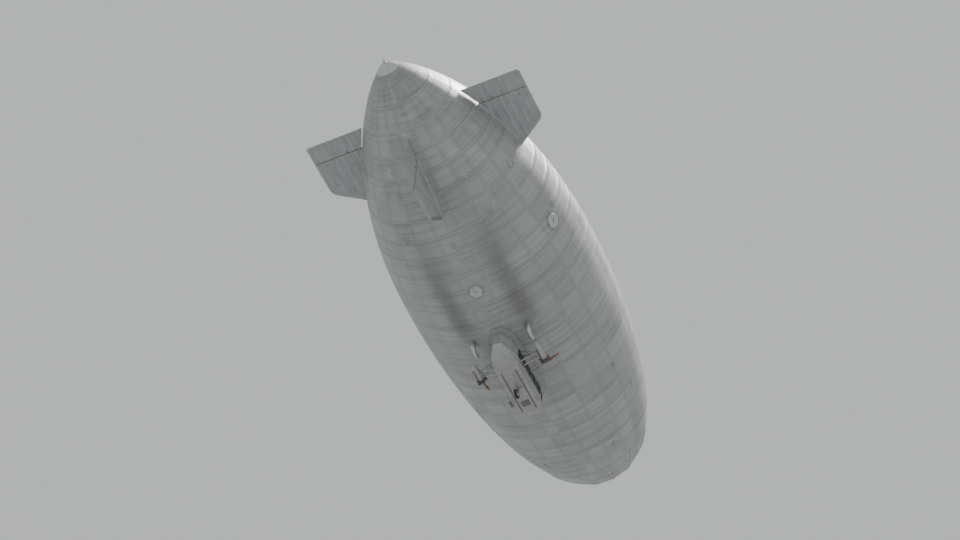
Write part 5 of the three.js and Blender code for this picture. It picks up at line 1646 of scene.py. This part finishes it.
def landing_leg():
    """Tube on a bolted flange with three braces and a rubber gaiter."""
    shape = Shape(place=(0, LEG_Y, 0))
    top = CAR_KEEL - 0.0003
    shape.lathe([(0.034, LEG_END), (0.06, LEG_END), (0.064, LEG_END + 0.006), (0.064, LEG_END + 0.05),
                 (0.056, LEG_END + 0.058), (0.056, top - 0.04), (0.062, top - 0.03), (0.16, top - 0.024),
                 (0.17, top - 0.018), (0.17, top), (0.034, top)], axis=Z, sides=40, closed=True)
    shape.studs(spots(12, 0.135, (0, 0, top - 0.02), Z, 0.5), -Z, 0.011, 0.013)
    for x, y in ((0.26, 0), (-0.26, 0), (0, 0.33)):
        brace = np.linspace((x * 0.2, y * 0.2, LEG_END + 0.11), (x, y, top - 0.012), 3)
        shape.tube(brace, (0.017, 0.02, 0.017), 14)
        shape.block((x, y, top - 0.007), (0.058, 0.058, 0.007))
        shape.studs(lattice((x - 0.042, x + 0.042), (y - 0.042, y + 0.042), top - 0.014), -Z, 0.009, 0.009)
    for k in range(5):
        shape.band(0.056, 0.066, 0.005, 0.004, (0, 0, LEG_END + 0.071 + k * 0.012), Z, 40, 2)
    shape.make("landing_leg", "tube", "steel", [SILVER_TUBE, STEEL, RUBBER])


def wheel_fork():
    """Two cheeks under a crown that turns in the leg, with the axle and its nuts."""
    shape = Shape()
    crown, axle = LEG_END - 0.005, LEG_Y + FORK_TRAIL
    shape.box((-0.128, LEG_Y - 0.072, crown - 0.04), (0.128, LEG_Y + 0.092, crown), 0.01)
    shape.lathe([(0, crown - 0.01), (0.0315, crown - 0.01), (0.0315, LEG_END + 0.15), (0, LEG_END + 0.15)],
                (0, LEG_Y, 0), Z, kind=1)
    shape.band(0.033, 0.058, 0.002, 0, (0, LEG_Y, crown + 0.002), Z, 32)
    edge = [(LEG_Y - 0.072, crown - 0.02), (LEG_Y + 0.09, crown - 0.02), (LEG_Y + 0.1, crown - 0.12),
            (axle + 0.045, WHEEL_Z + 0.08), (axle + 0.045, WHEEL_Z - 0.01)]
    end = np.linspace(0.3, PI - 0.3, 7)
    edge += [(axle + 0.045 * math.cos(t), WHEEL_Z - 0.01 - 0.037 * math.sin(t)) for t in end]
    edge += [(axle - 0.045, WHEEL_Z - 0.01), (axle - 0.06, WHEEL_Z + 0.08)]
    middle = np.mean(edge, 0)
    for side in (-1, 1):
        shape.grid([[(side * x, *(middle + (spot - middle) * share)) for spot in np.array(edge)]
                    for x, share in ((0.102, 0.96), (0.105, 1), (0.125, 1), (0.128, 0.96))])
        shape.lathe([(0, 0.126), (0.034, 0.126), (0.034, 0.131), (0.024, 0.132), (0.023, 0.144),
                     (0.012, 0.147), (0, 0.147)], (0, axle, WHEEL_Z), side * X, 6, 1)
    shape.rod((-0.13, axle, WHEEL_Z), (0.13, axle, WHEEL_Z), 0.0195, 20)
    shape.make("wheel_fork", "welded", "steel", [SILVER_TUBE, STEEL], "fork")


def wheel():
    """Spun rim with bolts and lightening holes, and a tyre with grooves and shoulder blocks."""
    middle = (0, LEG_Y + FORK_TRAIL, WHEEL_Z)
    rim = Shape(place=middle)
    rim.lathe(both_ways([(0.021, 0.088), (0.04, 0.088), (0.045, 0.082), (0.047, 0.05), (0.056, 0.036),
                         (0.085, 0.03), (0.11, 0.028), (0.124, 0.034), (0.132, 0.046), (0.136, 0.06),
                         (0.147, 0.066), (0.156, 0.064), (0.158, 0.056), (0.149, 0.05)]), axis=X, sides=48,
              closed=True)
    for side in (-1, 1):
        rim.studs(spots(8, 0.098, (side * 0.0285, 0, 0), X), side * X, 0.008, 0.007)
        for spot in spots(8, 0.078, (side * 0.0275, 0, 0), X, 0.5):
            rim.lathe([(0, -0.002), (0.013, -0.002), (0.015, 0.002), (0, 0.002)], spot, side * X, 14, 2)
    rim.make("wheel_rim", "spun", "bare_metal", [ALUMINIUM, STEEL, RUBBER], "wheel")
    tyre = Shape(place=middle)
    outline = both_ways([(0.1505, 0.05), (0.158, 0.062), (0.172, 0.071), (0.2, 0.0785), (0.225, 0.08),
                         (0.246, 0.0745), (0.262, 0.064), (0.271, 0.05), (0.27642, 0.034), (0.267, 0.032),
                         (0.267, 0.028), (0.27558, 0.026), (0.2793, 0.01), (0.267, 0.008), (0.267, 0.004)])
    tyre.lathe([*outline, (0.1505, 0)], axis=X, sides=72, closed=True)
    for angle in turns(72):
        turn = np.array(Matrix.Rotation(angle, 3, "X"))
        for x in (-0.058, 0.058):
            tyre.block(turn @ (x, 0, 0.265), (0.007, 0.0055, 0.0065), 0.002, 0, turn)
    tyre.make("tyre", "treaded", "tyre_rubber", [TYRE], "wheel")


# Fittings on the hull


def valve(name, y, degrees, radius):
    """Spring-loaded disc valve in a bolted ring, on a glued collar."""
    angle = math.radians(degrees)
    base, out = skin(y, angle), skin_normal(y, angle)
    shape = Shape()
    pad(shape, y, angle, disc(radius + 0.16, 64), 0.008, 3, rings=5)
    shape.lathe([(0, -0.06), (radius, -0.06), (radius, 0.034), (radius - 0.012, 0.042),
                 (radius - 0.09, 0.044), (radius - 0.1, 0.036), (radius - 0.11, 0.03), (radius * 0.66, 0.046),
                 (radius * 0.4, 0.06), (radius * 0.2, 0.066), (0, 0.067)], base, out, 64)
    shape.studs(spots(32, radius - 0.05, base + out * 0.043, out, 0.5), out, 0.012, 0.011)
    for way in spots(6, 1, axis=out):
        arm = out * 0.05 + way * (radius - 0.1), out * 0.072 + way * radius * 0.55, out * 0.078 + way * 0.02
        shape.tube(base + arm, 0.009, 8, 1)
    shape.lathe([(0, 0.05), (0.06, 0.05), (0.06, 0.074), (0.045, 0.08), (0, 0.08)], base, out, 28, 1)
    shape.make(name, "bolted", "bare_metal", [ALUMINIUM, STEEL, RUBBER, ENVELOPE_TRIM])


def handrail(place, side):
    """Bent tube on four brackets along the foot of the car."""
    shape = Shape()
    x, z = side * (CAR_HALF + 0.07), CAR_KEEL + 0.06
    first, last = RAIL_Y
    bend = smooth([(side * 0.745, first + 0.004, z), (x - side * 0.03, first + 0.006, z),
                   (x, first + 0.04, z), (x, first + 0.1, z)], 12)
    straight = np.linspace((x, first + 0.2, z), (x, last - 0.2, z), 12)
    shape.tube([*bend, *straight, *(bend * (1, -1, 1) + (0, first + last, 0))[::-1]], 0.016, 14)
    for y in np.linspace(first + 0.15, last - 0.15, 4):
        shape.tube([(side * reach, y, z) for reach in (CAR_HALF - 0.02, 0.77, CAR_HALF + 0.07)], 0.011)
        shape.lathe([(0, 0), (0.032, 0), (0.032, 0.005), (0.016, 0.012), (0, 0.012)],
                    (side * (CAR_HALF - 0.002), y, z), side * X, 18)
        shape.band(0.016, 0.0215, 0.016, 0.002, (x, y, z), Y, 18, 0)
    shape.make(f"handrail_{place}", "bent", "steel", [SILVER_TUBE])


def hull_patches():
    """Repair patches, handling patches with rings, rip panels and inspection discs, glued on the cloth."""
    shape = Shape()
    rng = np.random.default_rng(11)
    for _ in range(26):
        y, angle = rng.uniform(-11, 13), rng.uniform(0, 2 * PI)
        size = rng.uniform(0.07, 0.2, 2)
        pad(shape, y, angle, rectangle(*size), 0.004, rng.integers(0, 2), turn=rng.uniform(-0.2, 0.2))
    for y, degrees in HANDLING_PATCHES:
        angle = math.radians(degrees)
        pad(shape, y, angle, fan(0.13, 0.6), 0.006, 1, rings=6, turn=PI if y < 0 else 0.0)
        pad(shape, y, angle, disc(0.12, 24), 0.012, 1, rings=2)
        base, out = skin(y, angle, 0.03), skin_normal(y, angle)
        side = unit(np.cross(out, Y))
        shape.tube(base + out * 0.02 + 0.04 * circle(24, side, out), 0.007, 8, 2, ring=True)
        shape.block(base - out * 0.006, (0.05, 0.016, 0.014), 0.004, 2, np.stack([side, Y, out], 1))
    for y in (-7.4, -5.6):
        pad(shape, y, 0.0, rectangle(0.75, 0.28, 80), 0.006, 1, rings=8)
    pad(shape, 6.5, PI, disc(0.17), 0.006, 1, rings=8)
    for y, degrees in INSPECTION_DISCS:
        angle = math.radians(degrees)
        pad(shape, y, angle, disc(0.19), 0.006, 1)
        shape.lathe([(0, -0.004), (0.11, -0.004), (0.115, 0.004), (0.108, 0.009), (0.092, 0.009),
                     (0.09, 0.004), (0, 0.004)], skin(y, angle, 0.006), skin_normal(y, angle), 36, 2)
    shape.make("hull_patches", "", "envelope_fabric", [PATCH_PALE, ENVELOPE_TRIM, STEEL])


def lamps():
    """Red port, green starboard and white stern lamps on turned bases."""
    for name, place, axis, glass in (("port", (FIN_TIP - 0.01, 10.9, 0), X, LAMP_RED),
                                     ("starboard", (0.01 - FIN_TIP, 10.9, 0), -X, LAMP_GREEN),
                                     ("stern", skin(15.9, 0.0, 0.03), skin_normal(15.9, 0.0), LAMP_GLASS)):
        shape = Shape()
        shape.lathe([(0, -0.03), (0.045, -0.03), (0.045, 0.012), (0.038, 0.02), (0, 0.02)], place, axis)
        shape.lathe([(0, 0.018), (0.034, 0.02), (0.036, 0.034), (0.03, 0.052), (0.018, 0.064), (0, 0.068)],
                    place, axis, kind=1)
        shape.make(f"lamp_{name}", "", "bare_metal", [ALUMINIUM, glass])


# Scene


def view_frame():
    """Right, up and back directions of the camera."""
    a, e, r = (math.radians(v) for v in (AZIMUTH, ELEVATION, ROLL))
    back = Vector((math.sin(a) * math.cos(e), -math.cos(a) * math.cos(e), math.sin(e)))
    right = Vector((math.cos(a), math.sin(a), 0))
    up = back.cross(right)
    return right * math.cos(r) + up * math.sin(r), up * math.cos(r) - right * math.sin(r), back


def add_camera(right, up, back):
    data = bpy.data.cameras.new("camera")
    data.lens, data.clip_start, data.clip_end = LENS, 1.0, 5000.0
    camera = linked("camera", data)
    camera.matrix_world = Matrix((right, up, back)).transposed().to_4x4()
    camera.location = right * AIM_RIGHT + up * AIM_UP + back * DISTANCE
    bpy.context.scene.camera = camera


def add_floor():
    """Pale ground that only the picture shows."""
    p = Paint("pale_floor")
    colour = p.mix(p.noise(0.02, detail=5.0).ramp(0.3, 0.7), (0.206, 0.213, 0.223), (0.221, 0.228, 0.238))
    mesh = bpy.data.meshes.new("floor")
    corners = [(x * FLOOR_HALF, y * FLOOR_HALF, FLOOR_Z) for x, y in ((-1, -1), (1, -1), (1, 1), (-1, 1))]
    mesh.from_pydata(corners, [], [(0, 1, 2, 3)])
    mesh.materials.append(p.finish(Base_Color=colour, Roughness=0.9))
    linked("floor", mesh)


def add_light(right, up, back):
    """Pale sky all round and a soft sun, high on the right and beyond the airship."""
    world = bpy.data.worlds.new("pale_sky")
    world.use_nodes = True
    sky = world.node_tree.nodes["Background"].inputs
    sky["Color"].default_value, sky["Strength"].default_value = (0.96, 0.98, 1.0, 1), 0.62
    bpy.context.scene.world = world
    data = bpy.data.lights.new("sun", "SUN")
    data.energy, data.angle, data.color = 6.8, math.radians(12), (1.0, 0.98, 0.95)
    sun = linked("sun", data)
    sun.rotation_mode = "QUATERNION"
    sun.rotation_quaternion = (right * 0.42 + up * 0.58 - back * 0.7).normalized().to_track_quat("Z", "Y")


ENVELOPE = hull_fabric("silver_envelope", (0.415, 0.425, 0.42), True)
SEAM_TAPE = hull_fabric("seam_tape", (0.5, 0.51, 0.505), False)
ENVELOPE_TRIM = hull_fabric("envelope_trim", (0.37, 0.375, 0.37), False)
PATCH_PALE = hull_fabric("patch_cloth", (0.49, 0.5, 0.49), False)
FIN_CLOTH = fin_fabric("silver_fin_cloth", (0.4, 0.41, 0.405))
FIN_TAPE = fin_fabric("fin_tape", (0.48, 0.49, 0.485))
CORD = plain_fabric("lashing_cord", (0.5, 0.46, 0.38), 400.0)
PIPING = plain_fabric("seat_piping", (0.06, 0.03, 0.018), 500.0, 0.6)
LEATHER = leather("worn_leather", (0.12, 0.052, 0.026))
STEEL = metal("steel_tube", (0.42, 0.43, 0.44), 0.42)
ALUMINIUM = metal("weathered_aluminium", (0.6, 0.61, 0.61), 0.38, grain=(8, 90, 90))
RUBBER = metal("black_rubber", (0.025, 0.025, 0.026), 0.6, 0.0, (30, 30, 30), 0.2, (0.09, 0.085, 0.08))
TYRE = metal("tyre_rubber_dusty", (0.03, 0.03, 0.031), 0.72, 0.0, (60, 60, 60), 0.55, (0.13, 0.12, 0.1))
CASTING = metal("engine_casting", (0.42, 0.42, 0.41), 0.5, 0.75, (50, 50, 50), 0.5)
CYLINDER = metal("cylinder_steel", (0.16, 0.16, 0.165), 0.45, 0.7, (30, 30, 30), 0.5, (0.1, 0.07, 0.045))
EXHAUST = metal("burnt_exhaust", (0.2, 0.15, 0.12), 0.55, 0.7, (20, 20, 20), 0.7, (0.07, 0.055, 0.05))
BRASS = metal("worn_brass", (0.55, 0.42, 0.2), 0.35, 0.95, (60, 60, 60), 0.35, (0.16, 0.11, 0.06))
SILVER_WOOD = painted("silver_wood", (0.55, 0.555, 0.55), 0.5, 0.2)
CAR_PAINT = painted("silver_car_paint", (0.44, 0.445, 0.44), 0.4)
CAR_TRIM = painted("dark_trim_paint", (0.13, 0.14, 0.15), 0.4, 0.2, 0.7, (0.45, 0.45, 0.44))
SILVER_TUBE = painted("silver_tube_paint", (0.42, 0.425, 0.42), 0.45)
PANEL_BLACK = painted("crackle_black", (0.028, 0.029, 0.031), 0.5, 0.1, 0.5)
DIAL_WHITE = painted("dial_marks", (0.7, 0.69, 0.64), 0.5, 0.0, 0.0)
KNOB_RED = painted("red_enamel", (0.36, 0.025, 0.02), 0.3, 0.0, 0.3)
BOARDS = wood("cabin_boards", (0.3, 0.19, 0.1), (0.15, 0.085, 0.04), (1.2, 0.12, 1.2), 0.55)
SEAT_BOARDS = wood("seat_boards", (0.24, 0.14, 0.07), (0.12, 0.065, 0.03), (1.4, 1.4, 0.1), 0.5)
POLISHED_WOOD = wood("polished_rim", (0.26, 0.12, 0.045), (0.1, 0.04, 0.016), (1, 1, 1), 0.3)
PROP_WOOD = {place: laminated(f"laminated_{place}", degrees, (0.27, 0.115, 0.045), (0.11, 0.04, 0.018))
             for place, degrees in PROP_TURNS.items()}
LAMP_GLASS = lamp_glass("lamp_clear", (0.82, 0.84, 0.82))
LAMP_RED = lamp_glass("lamp_red", (0.55, 0.02, 0.015))
LAMP_GREEN = lamp_glass("lamp_green", (0.02, 0.4, 0.12))
WINDOW_GLASS = window_glass()

VIEW = view_frame()
add_camera(*VIEW)
add_floor()
add_light(*VIEW)

envelope_skin()
nose_battens()
nose_cone()
tail_cap()
for place, turn, surface, body, tip, hinges, horns, stays in FINS:
    fin(place, turn, tip, hinges, stays)
    control_surface(surface, body, turn, tip, hinges, horns)
hull_patches()
valve("gas_valve", 4.2, 242, 0.42)
valve("air_valve", 3.4, 180, 0.36)
car_shell()
fairing()
floor_boards()
seat("pilot_seat_port", 0.35, -3.56, 0.48)
seat("pilot_seat_starboard", -0.39, -3.56, 0.48)
seat("bench_seat", 0.0, -1.75, 1.24)
hand_wheel("elevator_wheel", ELEVATOR_WHEEL, 0.2, X, elevator_post)
hand_wheel("rudder_wheel", RUDDER_WHEEL, 0.17, Y, rudder_post)
instrument_panel()
cabin_fittings()
for place, side in (("port", 1), ("starboard", -1)):
    engine(place, side * ENGINE_X)
    nacelle(place, side * ENGINE_X)
    propeller(place, side * ENGINE_X, PROP_TURNS[place])
    outrigger(place, side)
    air_scoop(place, side)
    handrail(place, side)
landing_leg()
wheel_fork()
wheel()
lamps()
for name in ("glass_front", "glass_port", "glass_starboard", "glass_door"):
    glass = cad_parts[name].data.materials
    glass.clear()
    glass.append(WINDOW_GLASS)
